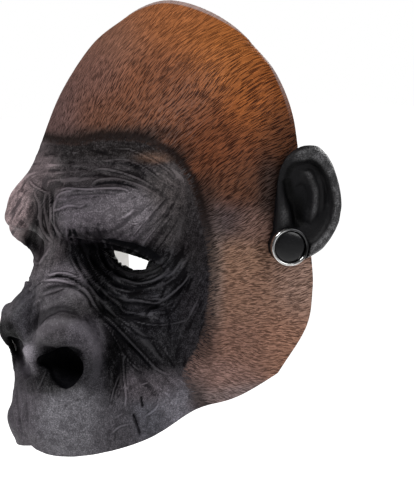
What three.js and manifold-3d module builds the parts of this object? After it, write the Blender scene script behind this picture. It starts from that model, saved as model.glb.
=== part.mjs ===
import * as THREE from 'three'
import Module from 'manifold-3d'

// Gorilla half mask in thin latex. It faces along -Y and its own left side is +X.
// The origin is midway between the two ear buttons, in the plane of the crown's top edge.

// Driving sizes, in millimetres
const halfWidth = 86
const faceDepth = 98
const crownHeight = 126
const reliefDepth = 20
const foldSize = 5
const latexWall = 2
const pieceGap = 0.3
const faceCell = 4.7
const sideCell = 15
const edgeSteps = 26
const evenPasses = 4

// Arches across the mask, from the lip to the crown. Each is a curve from the middle line past two guides to the rim.
// x is a share of halfWidth, y of faceDepth and z of crownHeight.
const arches = [
  // name            middle [y, z]     near guide [x, y, z]    side guide [x, y, z]     rim [x, y, z]
  ['lip edge',       [-0.96, -0.857],  [0.42, -1.02, -0.92],   [0.605, -0.43, -0.84],   [0.85, 0.155, -0.57]],
  ['upper lip',      [-1.0, -0.7],     [0.395, -1.02, -0.715], [0.7, -0.49, -0.69],     [0.92, 0.305, -0.38]],
  ['under nose',     [-0.92, -0.525],  [0.325, -0.94, -0.53],  [0.815, -0.55, -0.515],  [0.94, 0.335, -0.22]],
  ['nose',           [-0.855, -0.335], [0.325, -0.88, -0.335], [0.93, -0.55, -0.32],    [0.955, 0.315, -0.095]],
  ['eyes',           [-0.785, -0.095], [0.35, -0.785, -0.095], [0.99, -0.51, -0.065],   [0.975, 0.265, 0.05]],
  ['brow',           [-0.795, 0.145],  [0.44, -0.815, 0.145],  [1.0, -0.53, 0.145],     [1.0, 0.205, 0.205]],
  ['low forehead',   [-0.715, 0.35],   [0.37, -0.715, 0.35],   [1.02, -0.41, 0.365],    [1.01, 0.165, 0.38]],
  ['mid forehead',   [-0.54, 0.58],    [0.29, -0.54, 0.585],   [0.975, -0.305, 0.605],  [1.0, 0.12, 0.555]],
  ['high forehead',  [-0.305, 0.81],   [0.205, -0.305, 0.815], [0.785, -0.12, 0.85],    [0.895, 0.08, 0.715]],
  ['crown edge',     [-0.005, 1.0],    [0.21, 0, 1.0],         [0.53, 0.03, 0.935],     [0.705, 0.04, 0.84]],
]

// Main forms pushed in or out. A form off the middle is repeated on the other side.
// across is a share of halfWidth along the surface, up of crownHeight and push of reliefDepth.
const forms = [
  // name            at [across, up]   reach [across, up]  push [x, y, z]        edge, 2 soft to 4 steep
  ['brow ridge',     [0.3, 0.14],      [0.29, 0.125],      [0, -0.63, -0.05],    3],
  ['brow tail',      [0.7, 0.1],       [0.21, 0.1],        [0.15, -0.25, -0.05], 2],
  ['outer orbit',    [0.78, -0.015],   [0.18, 0.09],       [0.4, -0.45, 0],      2],
  ['glabella',       [0, 0.145],       [0.08, 0.16],       [0, 0.35, 0],         2],
  ['socket',         [0.43, -0.075],   [0.29, 0.11],       [0, 0.85, 0],         3],
  ['nose bridge',    [0, -0.125],      [0.15, 0.145],      [0, -0.6, 0],         2],
  ['nose wing',      [0.23, -0.335],   [0.2, 0.145],       [0, -0.76, 0],        2],
  ['nose groove',    [0, -0.35],       [0.06, 0.16],       [0, 0.25, 0],         2],
  ['wing roll',      [0.395, -0.43],   [0.09, 0.145],      [0.15, -0.4, 0],      2],
  ['nostril',        [0.2, -0.5],      [0.16, 0.075],      [0.1, 0.95, 0.25],    3],
  ['septum',         [0, -0.475],      [0.07, 0.09],       [0, -0.4, -0.15],     2],
  ['cheek bone',     [0.74, -0.335],   [0.23, 0.12],       [0.15, -0.25, 0],     2],
  ['cheek fold',     [0.58, -0.525],   [0.1, 0.19],        [-0.1, 0.3, 0],       2],
  ['lip bulge',      [0.3, -0.78],     [0.26, 0.08],       [0, -0.2, 0],         2],
  ['jaw dip',        [1.12, -0.745],   [0.25, 0.1],        [0, 0, 0.28],         2],
]

// Main folds along paths of [across, up] places. Widths and lift are shares of foldSize; a lift below 0 cuts in.
const folds = [
  // name             path, and then left width, right width and lift
  ['wing crease',     [[0.07, -0.24], [0.165, -0.175], [0.28, -0.15], [0.395, -0.205], [0.465, -0.32],
                       [0.49, -0.445], [0.44, -0.585]], 0.9, 0.9, -0.8],
  ['upper lid',       [[0.185, 0.065], [0.325, 0.08], [0.49, 0.06], [0.65, 0.01], [0.8, -0.07]], 1.0, 0.7, 0.8],
  ['lower lid',       [[0.235, -0.06], [0.35, -0.145], [0.51, -0.175], [0.675, -0.135], [0.79, -0.065]], 0.9, 0.9, 0.6],
  ['under eye fold',  [[0.3, -0.12], [0.36, -0.225], [0.51, -0.275], [0.7, -0.26], [0.86, -0.16]], 0.9, 0.9, -0.6],
  ['cheek line',      [[0.37, -0.22], [0.49, -0.33], [0.63, -0.43], [0.72, -0.54]], 0.9, 1.0, -0.5],
]

// Eye hole, seen from the front: corners [x, z] in shares of halfWidth and crownHeight, and how far each lid bows
const eyeInner = [0.25, -0.012]
const eyeOuter = [0.545, -0.078]
const upperLidBow = -0.8
const lowerLidBow = 8

// Breathing hole at the back of each nostril, placed in shares of halfWidth and crownHeight
const breathHole = [0.235, -0.47]
const breathDiameter = 7

// Ear, in a plane that leaves the head backwards; out runs from root to edge
const earRoot = new THREE.Vector3(0.988 * halfWidth, 0.015 * faceDepth, 0)
const earTurn = 62.5
const earWidth = 34.5
const earHeight = 60
const earCup = 9
const earOutline = [
  // out, share of earWidth   up, share of earHeight
  [0.01, 0.25],
  [0.01, 0.48],
  [0.06, 0.66],
  [0.18, 0.78],
  [0.38, 0.85],
  [0.62, 0.85],
  [0.81, 0.74],
  [0.94, 0.56],
  [1.0, 0.36],
  [0.96, 0.2],
  [0.85, 0.07],
  [0.71, -0.03],
  [0.56, -0.09],
  [0.38, -0.13],
  [0.18, -0.12],
  [0.04, 0],
]
// Front relief from the edge inwards: how far towards the middle, and how high above the ear's back plane
const earFront = [
  // inwards   height, share of earCup
  [0.03, 0.75],
  [0.12, 0.95],
  [0.22, 0.72],
  [0.32, 0.4],
  [0.46, 0.62],
  [0.6, 0.5],
  [0.78, 0.12],
]
const earMiddle = [0.4, 0.3]

// Root that fills the wedge between ear and head, and the side plane inside which no ear material lies
const rootOutline = [
  // out, share of earWidth   up, share of earHeight
  [-0.02, 0.02],
  [0.12, -0.12],
  [0.36, -0.14],
  [0.44, 0.05],
  [0.4, 0.45],
  [0.26, 0.66],
  [0.06, 0.6],
]
const rootDepth = 14
const headSide = 0.965 * halfWidth

// Button on the ear's root, with its post through ear and shell
const buttonDiameter = 20
const buttonOut = 6.3
const buttonUp = -0.3
const buttonSeat = 5.5
const seatInset = 0.6
const seatRoom = 0.8
const ringWidth = 1.7
const ringHeight = 3
const capHeight = 2.2
const postDiameter = 5
const flangeDiameter = 10
const flangeThickness = 1.6
const strapRoom = 3.5
const innerWallHeight = -10
const turnSteps = 24

const wasm = await Module()
wasm.setup()

function catmullRom(rows, place) {
  const last = rows.length - 1
  const index = Math.min(Math.floor(place), last - 1)
  const t = place - index
  const first = rows[0].map((value, k) => 2 * value - rows[1][k])
  const beyond = rows[last].map((value, k) => 2 * value - rows[last - 1][k])
  const a = index > 0 ? rows[index - 1] : first
  const b = rows[index]
  const c = rows[index + 1]
  const d = index + 2 <= last ? rows[index + 2] : beyond
  return b.map((value, k) => 0.5 * (2 * value + (c[k] - a[k]) * t
    + (2 * a[k] - 5 * value + 4 * c[k] - d[k]) * t * t
    + (3 * value - a[k] - 3 * c[k] + d[k]) * t * t * t))
}

const guideRows = arches.map(([, middle, near, side, rim]) => {
  const points = [[0, ...middle], near, side, rim]
  return points.flatMap(([x, y, z]) => [x * halfWidth, y * faceDepth, z * crownHeight])
})

function bezier(guides, t) {
  const weights = [(1 - t) ** 3, 3 * t * (1 - t) ** 2, 3 * t * t * (1 - t), t ** 3]
  const point = new THREE.Vector3()
  weights.forEach((weight, k) => {
    point.x += weight * guides[3 * k]
    point.y += weight * guides[3 * k + 1]
    point.z += weight * guides[3 * k + 2]
  })
  return point
}

// One arch as a run of points from middle to rim, with the length reached at each
function archAt(place) {
  const guides = catmullRom(guideRows, place)
  const steps = 120
  const points = []
  const reached = [0]
  for (let step = 0; step <= steps; step += 1) {
    points.push(bezier(guides, step / steps))
    if (step > 0) reached.push(reached[step - 1] + points[step].distanceTo(points[step - 1]))
  }
  return { points, reached, length: reached[steps] }
}

function alongArch(arch, share) {
  const target = Math.abs(share) * arch.length
  let step = 1
  while (step < arch.reached.length - 1 && arch.reached[step] < target) step += 1
  const span = arch.reached[step] - arch.reached[step - 1]
  const point = arch.points[step - 1].clone().lerp(arch.points[step], (target - arch.reached[step - 1]) / span)
  if (share < 0) point.x = -point.x
  return point
}

function pushForms(point, across, up) {
  for (const [, at, reach, push, edge] of forms) {
    const sides = at[0] === 0 ? [1] : [1, -1]
    for (const side of sides) {
      const dx = (across - side * at[0] * halfWidth) / (reach[0] * halfWidth)
      const dz = (up - at[1] * crownHeight) / (reach[1] * crownHeight)
      const weight = reliefDepth * Math.exp(-((dx * dx + dz * dz) ** (edge / 2)))
      point.add(new THREE.Vector3(side * push[0], push[1], push[2]).multiplyScalar(weight))
    }
  }
  return point
}

const foldPaths = folds.map(([, path, left, right, lift]) => {
  const line = []
  const pieces = 24
  for (let step = 0; step <= pieces; step += 1) {
    const [across, up] = catmullRom(path, (step / pieces) * (path.length - 1))
    line.push([across * halfWidth, up * crownHeight])
  }
  return { line, left: left * foldSize, right: right * foldSize, lift: lift * foldSize }
})

// How far the folds lift the surface at a place; they fade out towards both ends of each path
function foldLift(across, up) {
  let total = 0
  for (const { line, left, right, lift } of foldPaths) {
    let nearest = Infinity
    let width = left
    let along = 0
    for (let k = 0; k < line.length - 1; k += 1) {
      const [ax, az] = line[k]
      const bx = line[k + 1][0] - ax
      const bz = line[k + 1][1] - az
      const px = Math.abs(across) - ax
      const pz = up - az
      const t = Math.min(1, Math.max(0, (px * bx + pz * bz) / (bx * bx + bz * bz)))
      const distance = Math.hypot(px - t * bx, pz - t * bz)
      if (distance < nearest) {
        nearest = distance
        width = bx * pz - bz * px > 0 ? left : right
        along = (k + t) / (line.length - 1)
      }
    }
    const fade = Math.sqrt(Math.min(1, 6 * Math.min(along, 1 - along)))
    total += lift * fade * Math.exp(-((nearest / width) ** 2))
  }
  return total
}

// Rows and columns lie closer over the face than over the crown and sides
function spacedPlaces(length, fineTo, fineCell, coarseCell) {
  const fine = Math.round(Math.min(fineTo, length) / fineCell)
  const coarse = Math.round(Math.max(0, length - fineTo) / coarseCell)
  const places = []
  for (let k = 0; k <= fine; k += 1) places.push((k / fine) * fineTo / length)
  for (let k = 1; k <= coarse; k += 1) places.push((fineTo + (k / coarse) * (length - fineTo)) / length)
  return places
}

function gridPlaces() {
  const eyesArch = arches.findIndex(([name]) => name === 'eyes')
  const archLength = archAt(eyesArch).length
  const half = spacedPlaces(archLength, 0.8 * halfWidth, faceCell, sideCell)
  const columns = [...half.slice(1).reverse().map((share) => -share), ...half]
  const middleLine = []
  for (let k = 0; k <= 90; k += 1) middleLine.push(alongArch(archAt((k / 90) * (arches.length - 1)), 0))
  const reached = [0]
  middleLine.slice(1).forEach((point, k) => reached.push(reached[k] + point.distanceTo(middleLine[k])))
  const length = reached[90]
  const rows = spacedPlaces(length, 1.2 * crownHeight, faceCell, sideCell).map((share) => {
    let k = 1
    while (k < 90 && reached[k] < share * length) k += 1
    const part = (share * length - reached[k - 1]) / (reached[k] - reached[k - 1])
    return ((k - 1 + part) / 90) * (arches.length - 1)
  })
  return { columns, rows }
}

const grid = gridPlaces()

// Direction square to the surface; places on the border use their neighbours one row or column in
function gridNormal(points, atRow, atColumn) {
  const row = Math.min(Math.max(atRow, 1), grid.rows.length - 2)
  const column = Math.min(Math.max(atColumn, 1), grid.columns.length - 2)
  const across = points[row][column + 1].clone().sub(points[row][column - 1])
  const upwards = points[row + 1][column].clone().sub(points[row - 1][column])
  return across.cross(upwards).normalize()
}

// Each direction evened out with its neighbours, so that the inner face stays clear of itself in tight hollows
function smoothed(directions) {
  let result = directions
  for (let pass = 0; pass < evenPasses; pass += 1) {
    const before = result
    result = before.map((row, r) => row.map((direction, c) => {
      const sum = direction.clone().multiplyScalar(2)
      if (r > 0) sum.add(before[r - 1][c])
      if (r < before.length - 1) sum.add(before[r + 1][c])
      if (c > 0) sum.add(row[c - 1])
      if (c < row.length - 1) sum.add(row[c + 1])
      return sum.normalize()
    }))
  }
  return result
}

// The modelled outer face as a grid of points, and the directions in which the wall's thickness is measured
function outerFace() {
  const flat = []
  const formed = grid.rows.map((place) => {
    const arch = archAt(place)
    const flatRow = []
    const row = grid.columns.map((share) => {
      const point = alongArch(arch, share)
      const across = share * arch.length
      const up = point.z
      flatRow.push([across, up])
      return pushForms(point, across, up)
    })
    flat.push(flatRow)
    return row
  })
  const normals = smoothed(formed.map((row, r) => row.map((_, c) => gridNormal(formed, r, c))))
  const points = formed.map((row, r) => row.map((point, c) => (
    point.clone().addScaledVector(normals[r][c], foldLift(...flat[r][c])))))
  return { points, normals }
}

// Closed wall between two offsets of the outer face
function wallBetween(face, outside, inside) {
  const rows = grid.rows.length
  const columns = grid.columns.length
  const positions = []
  for (const offset of [outside, inside]) {
    face.points.forEach((row, r) => row.forEach((point, c) => {
      const place = point.clone().addScaledVector(face.normals[r][c], offset)
      positions.push(place.x, place.y, place.z)
    }))
  }
  const outer = (r, c) => r * columns + c
  const inner = (r, c) => rows * columns + r * columns + c
  const triangles = []
  const quad = (a, b, c, d) => triangles.push(a, b, c, a, c, d)
  for (let r = 0; r < rows - 1; r += 1) {
    for (let c = 0; c < columns - 1; c += 1) {
      quad(outer(r, c), outer(r, c + 1), outer(r + 1, c + 1), outer(r + 1, c))
      quad(inner(r, c), inner(r + 1, c), inner(r + 1, c + 1), inner(r, c + 1))
    }
  }
  for (let c = 0; c < columns - 1; c += 1) {
    quad(inner(0, c), inner(0, c + 1), outer(0, c + 1), outer(0, c))
    quad(outer(rows - 1, c), outer(rows - 1, c + 1), inner(rows - 1, c + 1), inner(rows - 1, c))
  }
  for (let r = 0; r < rows - 1; r += 1) {
    quad(outer(r, 0), outer(r + 1, 0), inner(r + 1, 0), inner(r, 0))
    quad(inner(r, columns - 1), inner(r + 1, columns - 1), outer(r + 1, columns - 1), outer(r, columns - 1))
  }
  return solidFrom(positions, triangles)
}

function solidFrom(positions, triangles) {
  return new wasm.Manifold(new wasm.Mesh({
    numProp: 3,
    vertProperties: new Float32Array(positions),
    triVerts: new Uint32Array(triangles),
  }))
}

// Prism along Y over an outline of [x, z] places, in counter-clockwise order seen from the front
function prismAlongY(outline, front, back) {
  const count = outline.length
  const positions = []
  for (const y of [front, back]) outline.forEach(([x, z]) => positions.push(x, y, z))
  const triangles = []
  for (let k = 1; k < count - 1; k += 1) {
    triangles.push(0, k, k + 1)
    triangles.push(count, count + k + 1, count + k)
  }
  for (let k = 0; k < count; k += 1) {
    const next = (k + 1) % count
    triangles.push(k, count + k, count + next, k, count + next, next)
  }
  return solidFrom(positions, triangles)
}

function eyeOutline(side) {
  const steps = 10
  const corner = ([x, z]) => [x * halfWidth, z * crownHeight]
  const [innerX, innerZ] = corner(eyeInner)
  const [outerX, outerZ] = corner(eyeOuter)
  const outline = []
  for (let k = 0; k <= steps; k += 1) {
    const t = k / steps
    outline.push([innerX + t * (outerX - innerX), innerZ + t * (outerZ - innerZ) - 4 * t * (1 - t) * lowerLidBow])
  }
  for (let k = 1; k < steps; k += 1) {
    const t = 1 - k / steps
    outline.push([innerX + t * (outerX - innerX), innerZ + t * (outerZ - innerZ) + 4 * t * (1 - t) * upperLidBow])
  }
  const placed = outline.map(([x, z]) => [side * x, z])
  return side > 0 ? placed : placed.reverse()
}

function breathOutline(side) {
  const steps = 12
  const outline = []
  for (let k = 0; k < steps; k += 1) {
    const turn = (k / steps) * 2 * Math.PI
    outline.push([
      side * breathHole[0] * halfWidth + Math.cos(turn) * breathDiameter / 2,
      breathHole[1] * crownHeight + Math.sin(turn) * breathDiameter / 2,
    ])
  }
  return outline
}

// Frame of one ear: out from root to edge, up, and face towards the front and the side
function earFrame(side) {
  const turn = THREE.MathUtils.degToRad(earTurn)
  const out = new THREE.Vector3(side * Math.cos(turn), Math.sin(turn), 0)
  const face = new THREE.Vector3(side * Math.sin(turn), -Math.cos(turn), 0)
  const root = new THREE.Vector3(side * earRoot.x, earRoot.y, earRoot.z)
  return { root, out, face, side }
}

function placeOnEar(frame, out, up, height) {
  const place = frame.root.clone().addScaledVector(frame.out, out).addScaledVector(frame.face, height)
  place.z += up
  return place
}

// Cupped ear: rings from the edge over the relief to the middle in front, and flat rings behind
function earBlank(frame) {
  const steps = edgeSteps
  const edge = []
  for (let k = 0; k < steps; k += 1) {
    const closed = [...earOutline, earOutline[0]]
    edge.push(catmullRom(closed, (k / steps) * earOutline.length))
  }
  const back = [[0.3, 0.1], [0, 0.3]]
  const rings = [...back, ...earFront]
  const positions = []
  const addPoint = (out, up, height) => {
    positions.push(...placeOnEar(frame, out * earWidth, up * earHeight, height).toArray())
  }
  for (const [inwards, height] of rings) {
    for (const [out, up] of edge) {
      addPoint(out + inwards * (earMiddle[0] - out), up + inwards * (earMiddle[1] - up), height * earCup)
    }
  }
  const backMiddle = positions.length / 3
  addPoint(...earMiddle, -0.2 * earCup)
  addPoint(...earMiddle, 0.1 * earCup)
  const triangles = []
  for (let ring = 0; ring < rings.length - 1; ring += 1) {
    for (let k = 0; k < steps; k += 1) {
      const next = (k + 1) % steps
      const a = ring * steps
      const b = a + steps
      triangles.push(a + k, a + next, b + next, a + k, b + next, b + k)
    }
  }
  const front = (rings.length - 1) * steps
  for (let k = 0; k < steps; k += 1) {
    const next = (k + 1) % steps
    triangles.push(backMiddle, next, k)
    triangles.push(front + k, front + next, backMiddle + 1)
  }
  return solidFacing(positions, triangles, frame.side)
}

// The edge is listed clockwise seen from the front on the left ear, and the other way on the right ear
function solidFacing(positions, triangles, side) {
  if (side > 0) {
    for (let k = 0; k < triangles.length; k += 3) {
      const first = triangles[k]
      triangles[k] = triangles[k + 1]
      triangles[k + 1] = first
    }
  }
  return solidFrom(positions, triangles)
}

// Solid turned about the button's axis from a profile of [radius, height] places, which runs from low to high outside.
// A ring's profile closes on itself; any other profile is filled up to the axis.
function turnedSolid(frame, profile, isRing) {
  const positions = []
  const triangles = []
  const count = profile.length
  for (let k = 0; k < turnSteps; k += 1) {
    const turn = (k / turnSteps) * 2 * Math.PI
    for (const [radius, height] of profile) {
      const out = buttonOut + radius * Math.cos(turn)
      const up = buttonUp + radius * Math.sin(turn)
      positions.push(...placeOnEar(frame, out, up, height).toArray())
    }
  }
  const last = isRing ? count : count - 1
  const lowMiddle = positions.length / 3
  if (!isRing) {
    positions.push(...placeOnEar(frame, buttonOut, buttonUp, profile[0][1]).toArray())
    positions.push(...placeOnEar(frame, buttonOut, buttonUp, profile[count - 1][1]).toArray())
  }
  for (let k = 0; k < turnSteps; k += 1) {
    const here = k * count
    const next = ((k + 1) % turnSteps) * count
    for (let j = 0; j < last; j += 1) {
      const after = (j + 1) % count
      triangles.push(here + j, next + after, next + j, here + j, here + after, next + after)
    }
    if (!isRing) {
      triangles.push(lowMiddle, here, next)
      triangles.push(lowMiddle + 1, next + count - 1, here + count - 1)
    }
  }
  return solidFacing(positions, triangles, frame.side)
}

function plainCylinder(frame, radius, low, high) {
  return turnedSolid(frame, [[radius, low], [radius, high]], false)
}

// Straight prism on the ear's frame over an outline of [out, up] places
function earPrism(frame, outline, low, high) {
  const count = outline.length
  const positions = []
  for (const height of [low, high]) {
    outline.forEach(([out, up]) => positions.push(...placeOnEar(frame, out, up, height).toArray()))
  }
  const triangles = []
  for (let k = 1; k < count - 1; k += 1) {
    triangles.push(0, k, k + 1)
    triangles.push(count, count + k + 1, count + k)
  }
  for (let k = 0; k < count; k += 1) {
    const next = (k + 1) % count
    triangles.push(k, count + next, next, k, count + k, count + next)
  }
  return solidFacing(positions, triangles, frame.side)
}

// Everything nearer the middle plane than the head's side
function headBlock() {
  const outline = [[-headSide, -crownHeight], [headSide, -crownHeight], [headSide, crownHeight], [-headSide, crownHeight]]
  return prismAlongY(outline, -faceDepth, faceDepth)
}

function postHole(frame) {
  return plainCylinder(frame, postDiameter / 2 + pieceGap, -2 * rootDepth, 2 * buttonSeat)
}

function maskShell(face, frames) {
  let shell = wallBetween(face, 0, -latexWall)
  for (const side of [1, -1]) {
    shell = shell.subtract(prismAlongY(eyeOutline(side), -0.9 * faceDepth, -0.25 * faceDepth))
    shell = shell.subtract(prismAlongY(breathOutline(side), -0.85 * faceDepth, -0.3 * faceDepth))
  }
  for (const frame of frames) {
    shell = shell.subtract(postHole(frame))
  }
  return shell
}

function ear(face, frame) {
  const root = earPrism(frame, rootOutline.map(([out, up]) => [out * earWidth, up * earHeight]), -rootDepth, 0.3 * earCup)
  const seat = plainCylinder(frame, buttonDiameter / 2 - seatInset, -rootDepth, buttonSeat)
  const aboveSeat = plainCylinder(frame, buttonDiameter / 2 + seatRoom, buttonSeat, 3 * earCup)
  const whole = earBlank(frame).add(root).add(seat)
  const cut = whole
    .subtract(aboveSeat)
    .subtract(wallBetween(face, pieceGap, -4 * latexWall))
    .subtract(headBlock())
    .subtract(postHole(frame))
  const bodies = cut.decompose()
  return bodies.reduce((largest, body) => (body.volume() > largest.volume() ? body : largest))
}

function buttonRing(frame) {
  const outer = buttonDiameter / 2
  const inner = outer - ringWidth
  const low = buttonSeat + pieceGap
  const high = low + ringHeight
  return turnedSolid(frame, [
    [outer, low],
    [outer, high - 0.6],
    [outer - 0.3 * ringWidth, high],
    [inner + 0.3 * ringWidth, high],
    [inner, high - 0.5],
    [inner, low],
  ], true)
}

function buttonCap(frame) {
  const radius = buttonDiameter / 2 - ringWidth - pieceGap
  const low = buttonSeat + pieceGap
  const high = low + capHeight
  return turnedSolid(frame, [[radius, low], [radius, high - 0.3], [radius - 0.6, high]], false)
}

function rivetPost(frame) {
  const postRadius = postDiameter / 2
  const flangeRadius = flangeDiameter / 2
  const flangeTop = innerWallHeight - strapRoom
  return turnedSolid(frame, [
    [flangeRadius, flangeTop - flangeThickness],
    [flangeRadius, flangeTop],
    [postRadius, flangeTop],
    [postRadius, buttonSeat],
  ], false)
}

function latexMaterial() {
  return new THREE.MeshStandardMaterial({ color: '#6d4630', roughness: 0.62, metalness: 0 })
}

function blackLatexMaterial() {
  return new THREE.MeshStandardMaterial({ color: '#232224', roughness: 0.5, metalness: 0 })
}

function polishedMetalMaterial() {
  return new THREE.MeshStandardMaterial({ color: '#c9c9c6', roughness: 0.18, metalness: 1 })
}

function glossyBlackMaterial() {
  return new THREE.MeshStandardMaterial({ color: '#0e0e10', roughness: 0.15, metalness: 0 })
}

function darkPlasticMaterial() {
  return new THREE.MeshStandardMaterial({ color: '#1b1b1d', roughness: 0.45, metalness: 0 })
}

function meshFrom(name, solid, material) {
  const { vertProperties, triVerts } = solid.getMesh()
  const geometry = new THREE.BufferGeometry()
  geometry.setAttribute('position', new THREE.BufferAttribute(vertProperties, 3))
  geometry.setIndex(new THREE.BufferAttribute(triVerts, 1))
  geometry.computeVertexNormals()
  const mesh = new THREE.Mesh(geometry, material)
  mesh.name = name
  return mesh
}

function animalHalfMask() {
  const group = new THREE.Group()
  group.name = 'animal_half_mask'
  const face = outerFace()
  const left = earFrame(1)
  const right = earFrame(-1)
  group.add(meshFrom('mask_shell', maskShell(face, [left, right]), latexMaterial()))
  for (const [word, frame] of [['left', left], ['right', right]]) {
    group.add(meshFrom(`ear_${word}`, ear(face, frame), blackLatexMaterial()))
    group.add(meshFrom(`button_ring_${word}`, buttonRing(frame), polishedMetalMaterial()))
    group.add(meshFrom(`button_cap_${word}`, buttonCap(frame), glossyBlackMaterial()))
    group.add(meshFrom(`rivet_post_${word}`, rivetPost(frame), darkPlasticMaterial()))
  }
  return group
}

export default animalHalfMask()
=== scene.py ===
import math

import bmesh
import bpy
import numpy as np
from mathutils import Matrix, Vector, noise
from mathutils.bvhtree import BVHTree


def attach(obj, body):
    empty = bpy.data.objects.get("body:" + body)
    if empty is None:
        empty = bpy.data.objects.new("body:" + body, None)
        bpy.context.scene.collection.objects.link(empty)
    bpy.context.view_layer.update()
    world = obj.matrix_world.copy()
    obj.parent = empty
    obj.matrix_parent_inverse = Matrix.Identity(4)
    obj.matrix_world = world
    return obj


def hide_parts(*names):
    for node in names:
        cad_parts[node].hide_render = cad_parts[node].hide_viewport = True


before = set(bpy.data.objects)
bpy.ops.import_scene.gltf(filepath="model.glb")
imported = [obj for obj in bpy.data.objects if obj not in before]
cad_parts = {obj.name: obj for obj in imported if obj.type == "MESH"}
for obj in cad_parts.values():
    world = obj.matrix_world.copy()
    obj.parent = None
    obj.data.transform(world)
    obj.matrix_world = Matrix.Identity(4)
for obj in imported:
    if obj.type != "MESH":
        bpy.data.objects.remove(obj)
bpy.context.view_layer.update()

# Driving sizes, in metres, the same as the solid model's
HALF_WIDTH = 0.086
FACE_DEPTH = 0.098
CROWN_HEIGHT = 0.126
RELIEF_DEPTH = 0.020
FOLD_SIZE = 0.005
LATEX_WALL = 0.002
LEAST_WALL = 0.0012
FRONT_SCALE = np.array([HALF_WIDTH, CROWN_HEIGHT])

# Grid of the shell: its cells' sizes, and the arch and the share across up to which they are fine
FACE_CELL = 0.00095
SIDE_CELL = 0.0026
CROWN_CELL = 0.0019
FACE_TOP_ARCH = 6.5
FACE_SHARE = 0.58
INNER_STEP = 3
SAMPLE_ROWS = 260
SAMPLE_COLUMNS = 401
TYPICAL_CELL = 0.8
ROW_EVENING = 12
FORM_EVENING = 40
FOLD_EVENING = 4
INNER_EVENING = 6
INNER_NORMAL_EVENING = 20
WALL_EVENING = 12

# Lie of the hair: it fans out from a point on the middle line at this height.
# HAIR_REACH from there its scale is natural.
EYES_ARCH = 4
HAIR_CENTRE_HEIGHT = -0.03
HAIR_REACH = 0.15
LEAST_HAIR_REACH = 0.01

# Engraved strokes: depth in metres, and for each layer its cells in millimetres, its strength, seed and shift
STROKE_DEPTH = 0.0002
STROKE_LAYERS = [
    # width  length  strength  seed  shift
    (2.3,    11,     1.0,      5,    0),
    (3.1,    15,     0.8,      9,    7),
]
STROKE_DRAWS = 4096
STROKE_HALF_WIDTH = 0.24
STROKE_HALF_LENGTH = 0.55
STROKE_WANDER = 0.7
STROKE_SLANT = 0.12
LEAST_STROKE = 0.35

# Soft unevenness of the skin: height in metres, and for each layer its share, size and seed
LUMP_HEIGHT = 0.00025
LUMP_LAYERS = [
    # share  size    seed
    (0.6,    0.007,  3),
    (0.4,    0.0028, 8),
]

# Ear, in a plane that leaves the head backwards; places are (out, up) in shares of its width and height
EAR_ROOT = (0.988 * HALF_WIDTH, 0.015 * FACE_DEPTH)
EAR_TURN = 62.5
EAR_WIDTH = 0.0345
EAR_HEIGHT = 0.06
EAR_SCALE = np.array([EAR_WIDTH, EAR_HEIGHT])
EAR_CUP = 0.009
EAR_VOXEL = 0.0006
EAR_EVENING = 5
EAR_STEPS = 120
EAR_RINGS = 56
EAR_ROUGHNESS = 0.0002
EAR_LUMP = 0.004
EAR_SEED = 4
# The rim is lower over this share of the ear next to the head, down to this share of its height
EAR_FRONT = 0.4
EAR_FRONT_HEIGHT = 0.4
EAR_MIDDLE = (0.4, 0.3)
EAR_OUTLINE = [
    (0.01, 0.25), (0.01, 0.48), (0.06, 0.66), (0.18, 0.78), (0.38, 0.85), (0.62, 0.85),
    (0.81, 0.74), (0.94, 0.56), (1.0, 0.36), (0.96, 0.2), (0.85, 0.07), (0.71, -0.03),
    (0.56, -0.09), (0.38, -0.13), (0.18, -0.12), (0.04, 0),
]
# Section from the back's middle round the edge to the front's middle: how far inwards,
# and height in shares of EAR_CUP
EAR_PROFILE = [
    (0.95, -0.19), (0.3, 0.08), (0.02, 0.25), (0, 0.55), (0.05, 0.88), (0.13, 1.0), (0.21, 0.85), (0.28, 0.5),
    (0.36, 0.36), (0.5, 0.36), (0.75, 0.3), (0.97, 0.28),
]
EAR_FORMS = [
    # name          at            reach         height
    ("bowl",        (0.36, 0.3),  (0.13, 0.16), -0.0014),
    ("front bump",  (0.13, 0.26), (0.12, 0.16), 0.0026),
    ("lobe",        (0.6, 0.05),  (0.2, 0.12),  0.001),
]
EAR_FOLDS = [
    # name           width   height   path
    ("rim groove",   0.002,  -0.0016, ((0.15, 0.52), (0.18, 0.63), (0.27, 0.7), (0.49, 0.725), (0.63, 0.68),
                                       (0.74, 0.595), (0.8, 0.48), (0.8, 0.34))),
    ("inner ridge",  0.0022, 0.003,   ((0.46, 0.65), (0.53, 0.575), (0.59, 0.48), (0.6, 0.4), (0.575, 0.285),
                                       (0.5, 0.19))),
    ("ridge branch", 0.0018, 0.0012,  ((0.34, 0.62), (0.44, 0.63), (0.53, 0.575))),
    ("outer ridge",  0.0014, 0.001,   ((0.66, 0.6), (0.71, 0.5), (0.72, 0.38), (0.69, 0.27))),
    ("front hollow", 0.0028, -0.0026, ((0.16, 0.58), (0.18, 0.48), (0.21, 0.4), (0.28, 0.31), (0.33, 0.22),
                                       (0.34, 0.15))),
    ("bowl edge",    0.0009, -0.0008, ((0.3, 0.5), (0.4, 0.53), (0.49, 0.47), (0.51, 0.38), (0.48, 0.29))),
]
ROOT_OUTLINE = [
    (-0.02, 0.02), (0.12, -0.12), (0.36, -0.14), (0.44, 0.05), (0.4, 0.45), (0.26, 0.66), (0.06, 0.6),
]
ROOT_TOP = 0.3 * EAR_CUP
ROOT_DEPTH = 0.014
ROOT_SINK = 0.001
ROOT_STEPS = 72
ROOT_LEVELS = 14

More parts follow.
